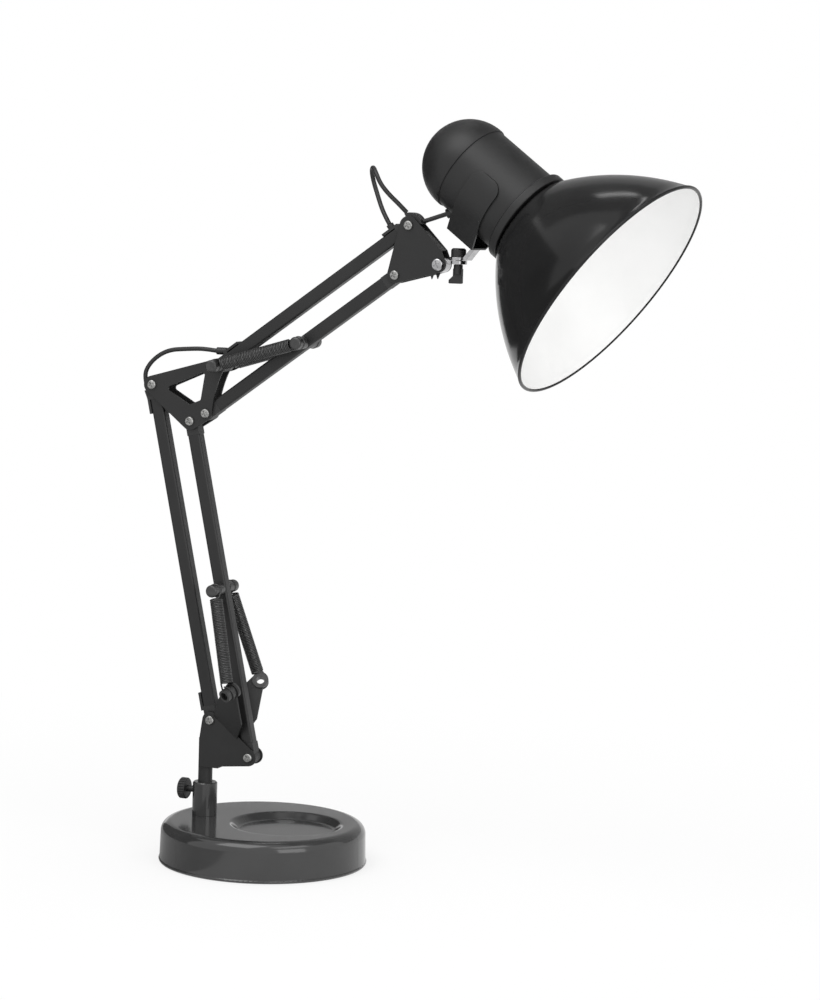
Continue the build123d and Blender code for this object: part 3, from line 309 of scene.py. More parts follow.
@dataclass(frozen=True)
class Finish:
    """A surface finish: colour, gloss and the fine unevenness that the real one shows.

    Attributes:
        name: Name of the material.
        dark: Its darkest colour.
        light: Its lightest colour.
        smooth: Its least roughness.
        rough: Its greatest roughness.
        scale: Scale of the unevenness.
        relief: Height of the fine relief in metres.
        metallic: Share of metal.
        shine: Strength of the reflection of a surface that isn't metal.
        rubbed: Whether it has rub marks in place of orange peel.
        edge: Radius that softens sharp edges, in metres.
    """

    name: str
    dark: Triple
    light: Triple
    smooth: float
    rough: float
    scale: float
    relief: float
    metallic: float = 0.0
    shine: float = 0.5
    rubbed: bool = False
    edge: float = 0.4 * MM

    def build(self, groups: SurfaceGroups) -> bpy.types.Material:
        """Make the material of this finish.

        Args:
            groups: The shared node groups.

        Returns:
            The material.
        """
        material = bpy.data.materials.new(self.name)
        material.use_nodes = True
        tree = material.node_tree
        shader = tree.nodes["Principled BSDF"]
        shader.inputs["Metallic"].default_value = self.metallic
        shader.inputs["Specular IOR Level"].default_value = self.shine
        place = tree.nodes.new("ShaderNodeTexCoord")
        group = tree.nodes.new("ShaderNodeGroup")
        group.node_tree = groups.scuffs if self.rubbed else groups.mottle
        group.inputs["Scale"].default_value = self.scale
        tree.links.new(place.outputs["Object"], group.inputs["Place"])
        slow = group.outputs["Tone" if self.rubbed else "Uneven"]
        fine = group.outputs["Marks" if self.rubbed else "Peel"]
        tint = tree.nodes.new("ShaderNodeValToRGB")
        ends = ((NOISE_LOW, self.dark), (NOISE_HIGH, self.light))
        for stop, (position, colour) in zip(tint.color_ramp.elements, ends):
            stop.position = position
            stop.color = (*colour, 1.0)
        tree.links.new(slow, tint.inputs["Fac"])
        tree.links.new(tint.outputs["Color"], shader.inputs["Base Color"])
        gloss = tree.nodes.new("ShaderNodeMapRange")
        gloss.inputs["From Min"].default_value = NOISE_LOW
        gloss.inputs["From Max"].default_value = NOISE_HIGH
        gloss.inputs["To Min"].default_value = self.smooth
        gloss.inputs["To Max"].default_value = self.rough
        tree.links.new(fine if self.rubbed else slow, gloss.inputs["Value"])
        tree.links.new(gloss.outputs["Result"], shader.inputs["Roughness"])
        bump = tree.nodes.new("ShaderNodeBump")
        bump.inputs["Strength"].default_value = 1.0
        bump.inputs["Distance"].default_value = self.relief
        tree.links.new(fine, bump.inputs["Height"])
        if self.edge:
            soft = tree.nodes.new("ShaderNodeBevel")
            soft.samples = EDGE_SAMPLES
            soft.inputs["Radius"].default_value = self.edge
            tree.links.new(soft.outputs["Normal"], bump.inputs["Normal"])
        tree.links.new(bump.outputs["Normal"], shader.inputs["Normal"])
        return material


ENAMEL = Finish(
    "black_enamel", dark=(0.008, 0.008, 0.0082), light=(0.013, 0.013, 0.0132),
    smooth=0.40, rough=0.50, scale=40.0, relief=2e-5, shine=0.42,
)
GLOSS = Finish(
    "shade_enamel", dark=(0.0125, 0.0125, 0.0127), light=(0.0165, 0.0165, 0.0167),
    smooth=0.12, rough=0.16, scale=25.0, relief=8e-6, shine=0.18,
)
CAST = Finish(
    "base_enamel", dark=(0.028, 0.028, 0.0282), light=(0.036, 0.036, 0.0362),
    smooth=0.10, rough=0.15, scale=25.0, relief=8e-6, shine=0.55,
)
WHITE = Finish(
    "white_enamel", dark=(0.88, 0.88, 0.875), light=(0.91, 0.91, 0.905),
    smooth=0.35, rough=0.5, scale=30.0, relief=2e-5, edge=0.0,
)
PLASTIC = Finish(
    "black_plastic", dark=(0.010, 0.010, 0.0102), light=(0.017, 0.017, 0.0172),
    smooth=0.42, rough=0.58, scale=70.0, relief=5e-5,
)
SPRING_STEEL = Finish(
    "black_steel", dark=(0.02, 0.02, 0.02), light=(0.04, 0.04, 0.04),
    smooth=0.3, rough=0.44, scale=300.0, relief=1e-5,
    metallic=0.3, shine=0.8, rubbed=True, edge=0.0,
)
ZINC = Finish(
    "zinc_steel", dark=(0.22, 0.22, 0.215), light=(0.42, 0.42, 0.41),
    smooth=0.3, rough=0.5, scale=500.0, relief=4e-5,
    metallic=1.0, rubbed=True, edge=0.15 * MM,
)
CHROME = Finish(
    "chrome", dark=(0.34, 0.34, 0.347), light=(0.48, 0.48, 0.487),
    smooth=0.1, rough=0.24, scale=350.0, relief=8e-6, metallic=1.0, rubbed=True,
)
SHEATH = Finish(
    "flex_cover", dark=(0.010, 0.010, 0.0102), light=(0.017, 0.017, 0.0172),
    smooth=0.38, rough=0.52, scale=120.0, relief=3e-5, edge=0.0,
)
IRON = Finish(
    "iron", dark=(0.05, 0.05, 0.05), light=(0.09, 0.085, 0.08),
    smooth=0.6, rough=0.8, scale=90.0, relief=4e-4,
)
FOAM = Finish(
    "foam", dark=(0.02, 0.02, 0.02), light=(0.035, 0.035, 0.035),
    smooth=0.85, rough=0.95, scale=200.0, relief=2e-4, edge=0.0,
)
BRASS = Finish(
    "brass", dark=(0.52, 0.37, 0.14), light=(0.68, 0.5, 0.2),
    smooth=0.2, rough=0.36, scale=400.0, relief=1e-5, metallic=1.0, rubbed=True,
)
FINISHES = (
    ENAMEL, GLOSS, CAST, WHITE, PLASTIC, SPRING_STEEL, ZINC, CHROME, SHEATH, IRON, FOAM, BRASS,
)
OWN_FINISH = {"base_cover": CAST, "post_socket": CAST, "shade": GLOSS}


class Palette:
    """All finishes as materials, built once."""

    def __init__(self) -> None:
        """Build every finish."""
        groups = SurfaceGroups()
        self.materials = {finish.name: finish.build(groups) for finish in FINISHES}

    def of(self, finish: Finish) -> bpy.types.Material:
        """The material of a finish."""
        return self.materials[finish.name]

    def dress_frame(self) -> None:
        """Give each solid of the frame its own finish, or else that of its record slot."""
        for subpart in frame["record"]["subparts"]:
            node = frame["nodes"][subpart["node"]]
            own = OWN_FINISH.get(subpart["node"])
            material = self.of(own) if own else self.materials[subpart["material_slot"]]
            node.data.materials.clear()
            node.data.materials.append(material)
            LOG.info("dressed %s in %s", node.name, material.name)

    def dress(self, piece: bpy.types.Object, finish: Finish) -> bpy.types.Object:
        """Give a piece one finish.

        Args:
            piece: The piece.
            finish: Its finish.

        Returns:
            The same piece.
        """
        piece.data.materials.clear()
        piece.data.materials.append(self.of(finish))
        return piece


@dataclass
class Joints:
    """Pivot points of the frame, from its record."""

    places: dict[str, Vector] = field(
        default_factory=lambda: {j["name"]: Vector(j["pos_m"]) for j in frame["joints"]}
    )

    def at(self, name: str) -> Vector:
        """The pivot of a joint."""
        return self.places[name].copy()


@dataclass
class BalanceSpring:
    """A closely wound balance spring with a hook round the post at each end.

    Attributes:
        name: Name of the piece.
        node: The solid that it replaces.
        low: Middle of the hook at the low end.
        low_axis: Unit vector along the post there.
        low_post: Radius of that post.
        high: Middle of the hook at the high end.
        high_axis: Unit vector along the post there.
        high_post: Radius of that post.
        bodies: The bodies that hold the low and the high end; not used.
        ramp: Shares of the way from low to high between which one body would hand over to the other; not used.
        wire: Thickness of the wire.
        radius: Radius of the coil at the middle of the wire.
        reach: Length of the straight part between coil and hook.
        pitch: Rise per turn, in wires.
        hug: How far the middle of the hook's wire is from the post, in wires.
        hook_step: Angle between the hook's control points in degrees.
        hook_points: How many control points a hook has.
        per_turn: Control points in a turn of the coil.
        order: Order of the wire's spline.
        resolution: Steps between two control points.
        sides: Resolution of the wire's section.
    """

    name: str
    node: str
    low: Vector
    low_axis: Vector
    low_post: float
    high: Vector
    high_axis: Vector
    high_post: float
    bodies: tuple[str, str]
    ramp: Pair
    wire: float = 1.25 * MM
    radius: float = 4.35 * MM
    reach: float = 1.6 * MM
    pitch: float = 1.03
    hug: float = 0.55
    hook_step: float = 30.0
    hook_points: int = 10
    per_turn: int = 12
    order: int = 4
    resolution: int = 2
    sides: int = 2

    @staticmethod
    def swell(step: float) -> float:
        """How much wider than its circle a cubic spline's control points lie, for their angle."""
        return 3.0 / (2.0 + math.cos(step))

    def hook(self, centre: Vector, axis: Vector, way: Vector, post: float) -> list[Vector]:
        """Control points of a hook that comes along way, passes over the post and turns back.

        Args:
            centre: Point on the post's axis.
            axis: Unit vector along the post.
            way: Unit vector from the coil to the post.
            post: Radius of the post.

        Returns:
            Points in order from the coil outward.
        """
        ahead = (way - axis * way.dot(axis)).normalized()
        across = ahead.cross(axis).normalized()
        ring = (post + self.hug * self.wire) * self.swell(math.radians(self.hook_step))
        places = []
        for step in range(self.hook_points):
            angle = math.radians(self.hook_step * step)
            sideways = across * (ring * math.cos(angle))
            places.append(centre + sideways + ahead * (ring * math.sin(angle)))
        return places

    def path(self) -> list[Vector]:
        """Control points of the whole wire, from the low hook's end to the high hook's end."""
        way = (self.high - self.low).normalized()
        start = self.low + way * (self.low_post + self.wire + self.reach)
        end = self.high - way * (self.high_post + self.wire + self.reach)
        top_hook = self.hook(self.high, self.high_axis, way, self.high_post)
        low_hook = self.hook(self.low, self.low_axis, -way, self.low_post)
        first = low_hook[0] - self.low
        across = (first - way * first.dot(way)).normalized()
        along = way.cross(across)
        last = top_hook[0] - self.high
        last = last - way * last.dot(way)
        turn = math.atan2(last.dot(along), last.dot(across))
        rise = self.wire * self.pitch
        turns = math.floor((end - start).length / rise) + (turn / FULL_TURN) % 1.0
        steps = round(turns * self.per_turn)
        ring = self.radius * self.swell(FULL_TURN / self.per_turn)
        coil = []
        for step in range(1, steps):
            share = step / steps
            angle = FULL_TURN * turns * share
            middle = start.lerp(end, share)
            sideways = across * (ring * math.cos(angle))
            coil.append(middle + sideways + along * (ring * math.sin(angle)))
        return [*reversed(low_hook), *coil, *top_hook]

    def build(self, palette: Palette) -> bpy.types.Object:
        """Wind the spring.

        Args:
            palette: The finishes.

        Returns:
            The spring.
        """
        line = nurbs_line(self.name, self.path(), self.order, self.resolution)
        piece = tube_from_line(line, 0.5 * self.wire, self.sides)
        palette.dress(piece, SPRING_STEEL)
        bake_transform(piece)
        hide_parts(self.node)
        return piece


@dataclass
class Springs:
    """The two pairs of balance springs.

    Attributes:
        ear_tip: Foot of the far bush on the lower bracket's ear, in millimetres.
        ear_out: Unit vector along that bush.
        bush_middle: How far along the bush the hook sits, in millimetres.
        bush_radius: Radius of the bush there, in millimetres.
        spool_radius: Radius of a spool there, in millimetres.
        spring_y: Distance of a spool's hook from the arm's plane, in millimetres.
        lower_ramp: The lower springs' ramp.
        upper_ramp: The upper springs' ramp.
    """

    ear_tip: Triple = (-16.8, 26.0, 135.3)
    ear_out: Triple = (-0.3209, 0.8608, -0.3950)
    bush_middle: float = 6.0
    bush_radius: float = 5.0
    spool_radius: float = 4.0
    spring_y: float = 14.0
    lower_ramp: Pair = (-0.08, 0.84)
    upper_ramp: Pair = (-0.08, 0.54)

    def pin(self, node: str, side: Side) -> Vector:
        """Place on a spring pin where a spring hooks on."""
        low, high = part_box(node)
        middle = (low + high) / 2.0
        return Vector((middle.x, side.value * self.spring_y * MM, middle.z))

    def lower(self, side: Side) -> BalanceSpring:
        """Spring from a bush on the lower bracket to the lower front bar."""
        out = Vector((self.ear_out[0], side.value * self.ear_out[1], self.ear_out[2]))
        tip = point(self.ear_tip[0], side.value * self.ear_tip[1], self.ear_tip[2])
        axis = Vector((0.0, side.value, 0.0))
        tag = side.name.lower()
        return BalanceSpring(
            f"balance_spring_lower_{tag}", f"lower_spring_{tag}",
            tip + out * (self.bush_middle * MM), out, self.bush_radius * MM,
            self.pin("lower_spring_pin", side), axis, self.spool_radius * MM,
            ("bracket", "lower_front_bar"), self.lower_ramp,
        )

    def upper(self, side: Side) -> BalanceSpring:
        """Spring from the elbow axle to the upper low bar."""
        axis = Vector((0.0, side.value, 0.0))
        tag = side.name.lower()
        return BalanceSpring(
            f"balance_spring_upper_{tag}", f"upper_spring_{tag}",
            self.pin("elbow_spring_axle", side), axis, self.spool_radius * MM,
            self.pin("upper_spring_pin", side), axis, self.spool_radius * MM,
            ("elbow", "upper_low_bar"), self.upper_ramp,
        )

    def build(self, palette: Palette) -> list[bpy.types.Object]:
        """Wind all the springs."""
        return [make(side).build(palette) for make in (self.lower, self.upper) for side in Side]


@dataclass
class FlexRun:
    """One run of the flex between two things that hold it.

    Attributes:
        name: Name of the piece.
        nodes: The solids that it replaces.
        route: Its control points.
        bodies: The one body that it rides, or the two that hold its ends.
        declared: Whether it is a free cord; not used.
        diameter: Its thickness.
        sides: Resolution of its section.
    """

    name: str
    nodes: tuple[str, ...]
    route: list[Vector]
    bodies: tuple[str, ...]
    declared: bool = True
    diameter: float = 3.4 * MM
    sides: int = 4

    def build(self, palette: Palette) -> bpy.types.Object:
        """Lay the run along its route.

        Args:
            palette: The finishes.

        Returns:
            The run as a tube.
        """
        line = nurbs_line(self.name, self.route)
        places = line_points(line)
        piece = tube_from_line(line, 0.5 * self.diameter, self.sides)
        palette.dress(piece, SHEATH)
        if len(self.bodies) == 2:
            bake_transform(piece)
        else:
            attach(piece, self.bodies[0])
        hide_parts(*self.nodes)
        return piece


ELBOW_UPPER_FROM_PIVOT = (
    (-4.6, 0, 10.8), (-12.0, 0, 11.6), (-22.5, 0, 11.8), (-37.3, 0, 10.42),
)
ELBOW_LOWER_FROM_PIVOT = (
    (11.4, 0, 27.0), (1.4, 0, 22.2), (-6.6, 0, 14.6), (-10.2, 0, 5.6), (-6.9, 0, -4.16),
)
LOOP_FROM_PIVOT = (
    (-17.7, 0, 0.5), (-21.5, 1.0, 6.0), (-26.5, 5.0, 13.0), (-31.5, 9.0, 22.5),
    (-35.5, 10.5, 32.0), (-35.3, 5.5, 40.0), (-31.0, -2.5, 42.6), (-26.0, -9.5, 38.0),
    (-21.7, -10.5, 29.8), (-16.0, -6.5, 22.0), (-9.8, -2.3, 15.5), (-4.17, 0, 9.36),
)
IN_TUBE = (0.35, 0.7)
IN_TAIL = (0.3, 0.65)
STRAIGHT_RUNS = (
    ("lower_rear_flex", ("lower_rear_bar",), IN_TUBE),
    ("upper_top_flex", ("upper_top_bar",), IN_TUBE),
    ("flex_tail_lower", ("head_bracket", "knuckle"), IN_TAIL),
    ("flex_tail_upper", ("knuckle", "head"), IN_TAIL),
)


@dataclass
class Flex:
    """The black flex: inside two tubes, in loops at the elbow and the head, and into the head.

    Attributes:
        joints: The pivots that its loops are measured from.
    """

    joints: Joints

    def routes(self) -> list[FlexRun]:
        """Every run of the flex, with the points that it follows."""
        top = self.joints.at("upper_arm")
        rear = self.joints.at("elbow_level")
        head = self.joints.at("head_level")
        upper = [top + point(*p) for p in ELBOW_UPPER_FROM_PIVOT]
        lower = [upper[-1], *(rear + point(*p) for p in ELBOW_LOWER_FROM_PIVOT)]
        loop = [head + point(*p) for p in LOOP_FROM_PIVOT]
        return [
            FlexRun("flex_elbow_upper", ("elbow_flex_upper",), upper, ("upper_top_bar", "elbow")),
            FlexRun("flex_elbow_lower", ("elbow_flex_lower",), lower, ("elbow", "lower_rear_bar")),
            FlexRun("flex_head_loop", ("head_flex_loop",), loop, ("upper_top_bar", "head_bracket")),
            *self.straight_runs(),
        ]

    def straight_runs(self) -> list[FlexRun]:
        """The runs inside the tubes and the two halves of the tail."""
        runs = []
        for node, bodies, shares in STRAIGHT_RUNS:
            start, end = self.ends(node)
            route = [start, *(start.lerp(end, share) for share in shares), end]
            runs.append(FlexRun(f"sheath_{node}", (node,), route, bodies, False))
        return runs

    @staticmethod
    def ends(node: str, rounds: int = 4) -> tuple[Vector, Vector]:
        """The two ends of a straight round solid, found as the middles of its two end circles.

        Args:
            node: Name of the solid.
            rounds: How often its direction is found anew.

        Returns:
            Its end centres, the lower one first.
        """
        places = [vertex.co.copy() for vertex in frame["nodes"][node].data.vertices]
        low = min(places, key=lambda p: p.z + p.x)
        high = max(places, key=lambda p: p.z + p.x)
        way = (high - low).normalized()
        for _ in range(rounds):
            reach = [p.dot(way) for p in places]
            middle = 0.5 * (min(reach) + max(reach))
            near = [p for p, r in zip(places, reach) if r < middle]
            far = [p for p, r in zip(places, reach) if r >= middle]
            low = sum(near, Vector()) / len(near)
            high = sum(far, Vector()) / len(far)
            way = (high - low).normalized()
        return (low, high) if low.z < high.z else (high, low)

    def build(self, palette: Palette) -> list[bpy.types.Object]:
        """Lay every run."""
        return [run.build(palette) for run in self.routes()]


@dataclass
class Shade:
    """The spun bowl shade: black outside, white inside, with a rolled rim.

    Its sizes are in millimetres. Its outline has radii and distances along the head's axis from the
    middle of the dome.

    Attributes:
        joints: The pivots that its place is measured from.
        dome_from_tilt: X and Z of the middle of the dome from the tilt pivot, before the pan.
        depression: Angle of the head's axis below the horizon in degrees.
        pan: Angle by which the head is panned in degrees.
        hole: Radius of the hole for the lampholder.
        neck: Radius and distance where the bowl starts.
        bulge: Radius and distance at about its middle.
        rim: Radius and distance where it ends.
        wall: Thickness of the sheet.
        bead: Radius of the rolled rim.
        bead_slack: How far off the rolled rim its faces are still found.
        roll_from: Angle at which the rolled rim starts, in degrees.
        roll_turn: Angle that it goes through, in degrees.
        roll_steps: Steps of the rolled rim.
        bowl_steps: Steps of the bowl from neck to rim.
        steps: Steps of the full turn.
    """

    joints: Joints
    dome_from_tilt: Pair = (20.1, 72.0)
    depression: float = 36.6
    pan: float = -6.0
    hole: float = 19.55
    neck: Pair = (38.0, 65.5)
    bulge: Pair = (69.0, 98.0)
    rim: Pair = (94.0, 143.5)
    wall: float = 1.2
    bead: float = 1.3
    bead_slack: float = 0.1
    roll_from: float = -75.0
    roll_turn: float = 270.0
    roll_steps: int = 12
    bowl_steps: int = 22
    steps: int = 144

    def place(self) -> Matrix:
        """Matrix from the shade's own axis to its place on the panned head."""
        tilt = self.joints.at("head_tilt")
        pivot = self.joints.at("head_pan")
        angle = math.radians(self.depression)
        axis = Vector((math.cos(angle), 0.0, -math.sin(angle)))
        down = Vector((-math.sin(angle), 0.0, -math.cos(angle)))
        side = axis.cross(down)
        centre = tilt + point(self.dome_from_tilt[0], 0.0, self.dome_from_tilt[1])
        local = Matrix((down, side, axis)).transposed().to_4x4()
        local.translation = centre
        pan = Matrix.Rotation(math.radians(self.pan), 4, "Z")
        turn = Matrix.Translation(pivot) @ pan @ Matrix.Translation(-pivot)
        return turn @ local

    def arc(self) -> tuple[Pair, float]:
        """Centre and radius of the bowl's outline through neck, bulge and rim."""
        (ax, ay), (bx, by), (cx, cy) = self.neck, self.bulge, self.rim
        d = 2.0 * (ax * (by - cy) + bx * (cy - ay) + cx * (ay - by))
        a, b, c = ax * ax + ay * ay, bx * bx + by * by, cx * cx + cy * cy
        x = (a * (by - cy) + b * (cy - ay) + c * (ay - by)) / d
        y = (a * (cx - bx) + b * (ax - cx) + c * (bx - ax)) / d
        return (x, y), math.hypot(ax - x, ay - y)

    def bead_middle(self) -> Pair:
        """Middle of the rolled rim."""
        return self.rim[0] - 0.5 * self.wall, self.rim[1]

    def outline(self) -> list[Pair]:
        """Closed outline of the wall with its rolled rim, in metres."""
        (x, y), outside = self.arc()
        inside = outside - self.wall
        low = math.atan2(self.neck[1] - y, self.neck[0] - x)
        high = math.atan2(self.rim[1] - y, self.rim[0] - x)
        count = self.bowl_steps
        angles = [low + (high - low) * i / count for i in range(count + 1)]
        outer = [(x + outside * math.cos(t), y + outside * math.sin(t)) for t in angles]
        inner = [(x + inside * math.cos(t), y + inside * math.sin(t)) for t in angles]
        middle = self.bead_middle()
        roll = []
        for i in range(1, self.roll_steps):
            t = math.radians(self.roll_from + self.roll_turn * i / self.roll_steps)
            roll.append((middle[0] + self.bead * math.cos(t), middle[1] + self.bead * math.sin(t)))
        top = self.neck[1]
        half_way = 0.5 * (self.hole + self.neck[0])
        flat_out = [(self.hole, top), (half_way, top)]
        flat_in = [(half_way, top + self.wall), (self.hole, top + self.wall)]
        points = [*flat_out, *outer[:-1], *roll, *reversed(inner[1:-1]), *flat_in]
        return [(r * MM, z * MM) for r, z in points]

    def build(self, palette: Palette) -> bpy.types.Object:
        """Spin the shade and paint its two sides.

        Args:
            palette: The finishes.

        Returns:
            The shade.
        """
        piece = spin_profile("bowl_shade", self.outline(), self.place(), self.steps)
        piece.data.materials.append(palette.of(GLOSS))
        piece.data.materials.append(palette.of(WHITE))
        self.paint(piece)
        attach(piece, "head")
        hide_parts("shade")
        return piece

    def paint(self, piece: bpy.types.Object) -> None:
        """Give the faces of the inner wall the white finish."""
        back = self.place().inverted()
        (x, y), radius = self.arc()
        bead_r, bead_s = self.bead_middle()
        for face in piece.data.polygons:
            local = back @ face.center
            r, s = math.hypot(local.x, local.y) / MM, local.z / MM
            within = math.hypot(r - x, s - y) < radius - 0.5 * self.wall
            below_neck = s > self.neck[1] + 0.5 * self.wall
            on_rim = math.hypot(r - bead_r, s - bead_s) < self.bead + self.bead_slack
            face.material_index = 1 if within and below_neck and not on_rim else 0


@dataclass
class FootPad:
    """The foam pad that the base stands on.

    Attributes:
        node: The solid that it replaces.
        sides: Sides of its round edge.
        edge: Radius of its rounded edges.
        edge_steps: Steps of that rounding.
    """

    node: str = "base_pad"
    sides: int = 96
    edge: float = 0.4 * MM
    edge_steps: int = 2

    def build(self, palette: Palette) -> bpy.types.Object:
        """Cut the pad and round its edges.

        Args:
            palette: The finishes.

        Returns:
            The pad.
        """
        low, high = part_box(self.node)
        radius = 0.5 * (high.x - low.x)
        deselect()
        bpy.ops.mesh.primitive_cylinder_add(
            vertices=self.sides, radius=radius, depth=high.z - low.z,
            location=(0.0, 0.0, 0.5 * (low.z + high.z)),
        )
        piece = bpy.context.object
        bpy.ops.object.mode_set(mode="EDIT")
        bpy.ops.mesh.select_all(action="SELECT")
        bpy.ops.mesh.bevel(offset=self.edge, segments=self.edge_steps, affect="EDGES")
        bpy.ops.object.mode_set(mode="OBJECT")
        settle(piece, "foot_pad")
        palette.dress(piece, FOAM)
        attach(piece, "base")
        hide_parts(self.node)
        return piece


@dataclass(frozen=True)
class StudioLamp:
    """A soft lamp that faces the object.

    Attributes:
        name: Its name.
        place: Where it hangs.
        size: Its width and height.
        power: Its power in watts.
        aim: The point that it faces.
    """

    name: str
    place: Triple
    size: Pair
    power: float
    aim: Triple = (0.05, 0.0, 0.3)

    def hang(self) -> None:
        """Add the lamp to the scene."""
        data = bpy.data.lights.new(self.name, "AREA")
        data.shape = "RECTANGLE"
        data.size, data.size_y = self.size
        data.energy = self.power
        lamp = bpy.data.objects.new(self.name, data)
        bpy.context.scene.collection.objects.link(lamp)
        lamp.location = self.place
        way = Vector(self.aim) - Vector(self.place)
        lamp.rotation_euler = way.to_track_quat("-Z", "Y").to_euler()


@dataclass(frozen=True)
class StudioCard:
    """A dark card that only reflections show.

    Attributes:
        name: Its name.
        place: Where its middle is.
        size: Its two sides.
        tone: How light it is.
        turn: Its turns about X and Y in degrees, from lying flat.
        roughness: Roughness of the card.
    """

    name: str
    place: Triple
    size: Pair
    tone: float
    turn: Pair = (0.0, 0.0)
    roughness: float = 0.9

    def hang(self) -> None:
        """Add the card to the scene."""
        deselect()
        about_x, about_y = (math.radians(angle) for angle in self.turn)
        bpy.ops.mesh.primitive_plane_add(
            size=1.0, location=self.place, rotation=(about_x, about_y, 0.0)
        )
        card = bpy.context.object
        card.name = self.name
        card.scale = (*self.size, 1.0)
        material = bpy.data.materials.new(self.name)
        material.use_nodes = True
        surface = material.node_tree.nodes["Principled BSDF"]
        surface.inputs["Base Color"].default_value = (self.tone, self.tone, self.tone, 1.0)
        surface.inputs["Roughness"].default_value = self.roughness
        card.data.materials.append(material)
        card.visible_camera = False
        card.visible_diffuse = False
        card.visible_shadow = False


LAMPS = (
    StudioLamp("key_lamp", place=(-0.4, -1.3, 2.6), size=(1.8, 1.8), power=28.0),
    StudioLamp("fill_lamp", place=(2.3, -1.6, 0.9), size=(1.6, 1.6), power=19.0),
    StudioLamp("window_lamp", place=(1.5, -0.75, 2.2), size=(1.6, 0.8), power=7.0),
    StudioLamp("back_strip", place=(-0.3, 0.85, 2.15), size=(0.45, 0.12), power=0.9),
)
CARDS = (
    StudioCard("left_card", (-1.4, 0.5, 0.8), size=(1.6, 2.2), tone=0.05, turn=(0.0, 90.0)),
    StudioCard("top_card", (0.0, 2.05, 3.0), size=(6.0, 3.5), tone=0.3),
    StudioCard("back_card", (0.0, 2.6, 1.75), size=(7.0, 2.5), tone=0.5, turn=(90.0, 0.0)),
    StudioCard("floor_card", (-0.62, 0.15, 0.001), size=(1.16, 1.3), tone=0.45),
)


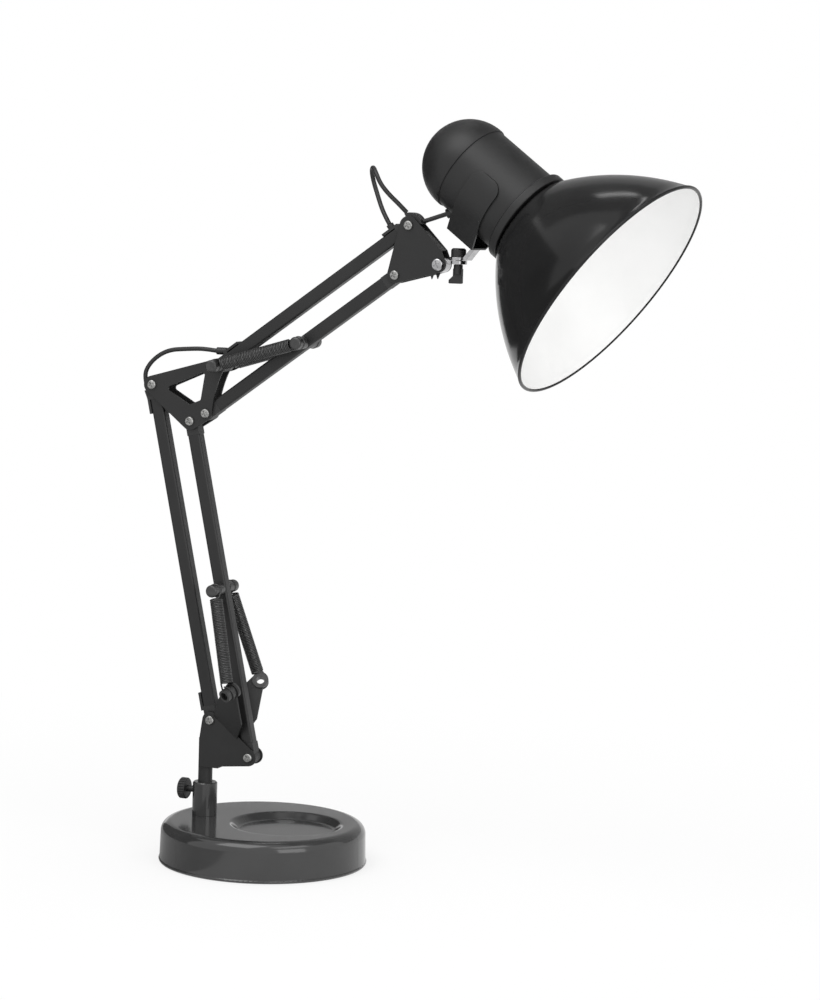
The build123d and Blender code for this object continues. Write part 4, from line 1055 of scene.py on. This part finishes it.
@dataclass
class Studio:
    """Camera, light, floor and background.

    Attributes:
        eye: Where the camera is.
        target: The point in the middle of the picture.
        roll: Turn of the camera about its line of sight in degrees.
        focal_px: Its focal length in pixels of the picture.
        picture_height: Height of the picture in pixels.
        sensor: Height of the camera's sensor in millimetres.
        light: Strength of the light from all round.
        floor_size: Side of the floor.
        floor_tone: Tone of the floor where the object's shadow falls.
        shadow_start: Distance from the base at which the shadow starts to fade.
        shadow_end: Distance at which it is gone.
        near_glow: Share of white in the floor near the base.
    """

    eye: Triple = (0.83713617, -1.97216923, 0.49975151)
    target: Triple = (0.11185846, 0.0, 0.28642840)
    roll: float = 1.775146
    focal_px: float = 2827.687
    picture_height: float = 1000.0
    sensor: float = 24.0
    light: float = 0.7
    floor_size: float = 30.0
    floor_tone: float = 0.9
    shadow_start: float = 0.1
    shadow_end: float = 0.75
    near_glow: float = 0.75

    def add_camera(self) -> None:
        """Stand the camera where the picture was taken."""
        eye, target = Vector(self.eye), Vector(self.target)
        ahead = (target - eye).normalized()
        flat_right = ahead.cross(Vector((0.0, 0.0, 1.0))).normalized()
        flat_up = flat_right.cross(ahead)
        turn = math.radians(self.roll)
        right = flat_right * math.cos(turn) + flat_up * math.sin(turn)
        up = flat_up * math.cos(turn) - flat_right * math.sin(turn)
        data = bpy.data.cameras.new("camera")
        data.sensor_fit = "VERTICAL"
        data.sensor_height = self.sensor
        data.lens = self.focal_px * self.sensor / self.picture_height
        camera = bpy.data.objects.new("camera", data)
        bpy.context.scene.collection.objects.link(camera)
        camera.matrix_world = Matrix((right, up, -ahead)).transposed().to_4x4()
        camera.location = eye
        bpy.context.scene.camera = camera

    @staticmethod
    def seen_rays(tree: bpy.types.NodeTree) -> bpy.types.NodeSocket:
        """Find the rays that show the background: the camera's, reflections and through glass.

        Args:
            tree: The node tree to add to.

        Returns:
            A socket that is one on such rays.
        """
        path = tree.nodes.new("ShaderNodeLightPath")
        first = tree.nodes.new("ShaderNodeMath")
        first.operation = "MAXIMUM"
        second = tree.nodes.new("ShaderNodeMath")
        second.operation = "MAXIMUM"
        tree.links.new(path.outputs["Is Camera Ray"], first.inputs[0])
        tree.links.new(path.outputs["Is Glossy Ray"], first.inputs[1])
        tree.links.new(first.outputs[0], second.inputs[0])
        tree.links.new(path.outputs["Is Transmission Ray"], second.inputs[1])
        return second.outputs[0]

    @staticmethod
    def white(tree: bpy.types.NodeTree, kind: str, strength: float) -> bpy.types.Node:
        """Add a white background or glow of the given strength."""
        node = tree.nodes.new(kind)
        node.inputs["Color"].default_value = FULL_WHITE
        node.inputs["Strength"].default_value = strength
        return node

    def add_world(self) -> None:
        """A white background, and a softer light from all round."""
        world = bpy.data.worlds.new("studio")
        bpy.context.scene.world = world
        world.use_nodes = True
        tree = world.node_tree
        tree.nodes.clear()
        out = tree.nodes.new("ShaderNodeOutputWorld")
        mix = tree.nodes.new("ShaderNodeMixShader")
        seen = self.white(tree, "ShaderNodeBackground", 1.0)
        light = self.white(tree, "ShaderNodeBackground", self.light)
        tree.links.new(self.seen_rays(tree), mix.inputs["Fac"])
        tree.links.new(light.outputs[0], mix.inputs[1])
        tree.links.new(seen.outputs[0], mix.inputs[2])
        tree.links.new(mix.outputs[0], out.inputs["Surface"])

    def floor_material(self) -> bpy.types.Material:
        """Make the floor's material, which is pale near the base and turns white away from it."""
        material = bpy.data.materials.new("pale_floor")
        material.use_nodes = True
        tree = material.node_tree
        tree.nodes.clear()
        out = tree.nodes.new("ShaderNodeOutputMaterial")
        matt = tree.nodes.new("ShaderNodeBsdfDiffuse")
        tone = self.floor_tone
        matt.inputs["Color"].default_value = (tone, tone, tone, 1.0)
        glow = self.white(tree, "ShaderNodeEmission", 1.0)
        place = tree.nodes.new("ShaderNodeTexCoord")
        away = tree.nodes.new("ShaderNodeVectorMath")
        away.operation = "LENGTH"
        fade = tree.nodes.new("ShaderNodeMapRange")
        fade.interpolation_type = "SMOOTHSTEP"
        fade.inputs["From Min"].default_value = self.shadow_start
        fade.inputs["From Max"].default_value = self.shadow_end
        fade.inputs["To Min"].default_value = self.near_glow
        fade.inputs["To Max"].default_value = 1.0
        share = tree.nodes.new("ShaderNodeMath")
        share.operation = "MULTIPLY"
        mix = tree.nodes.new("ShaderNodeMixShader")
        tree.links.new(place.outputs["Object"], away.inputs[0])
        tree.links.new(away.outputs["Value"], fade.inputs["Value"])
        tree.links.new(fade.outputs["Result"], share.inputs[1])
        tree.links.new(self.seen_rays(tree), share.inputs[0])
        tree.links.new(share.outputs[0], mix.inputs["Fac"])
        tree.links.new(matt.outputs[0], mix.inputs[1])
        tree.links.new(glow.outputs[0], mix.inputs[2])
        tree.links.new(mix.outputs[0], out.inputs["Surface"])
        return material

    def add_floor(self) -> None:
        """Lay a plain floor that keeps the object's soft shadow."""
        deselect()
        bpy.ops.mesh.primitive_plane_add(size=self.floor_size, location=(0.0, 0.0, 0.0))
        floor = bpy.context.object
        floor.name = "floor"
        floor.data.materials.append(self.floor_material())

    def build(self) -> None:
        """Set up the whole studio."""
        bpy.context.scene.view_settings.view_transform = "Standard"
        self.add_camera()
        self.add_world()
        for lamp in LAMPS:
            lamp.hang()
        self.add_floor()
        for card in CARDS:
            card.hang()


def main() -> None:
    """Build the studio and every piece in order, and log the names of the pieces."""
    logging.basicConfig(level=logging.INFO, format="%(message)s")
    Studio().build()
    palette = Palette()
    palette.dress_frame()
    joints = Joints()
    pieces = [
        *Flex(joints).build(palette),
        *Springs().build(palette),
        Shade(joints).build(palette),
        FootPad().build(palette),
    ]
    for piece in pieces:
        LOG.info("built %s", piece.name)
    deselect()


if __name__ == "__main__":
    main()
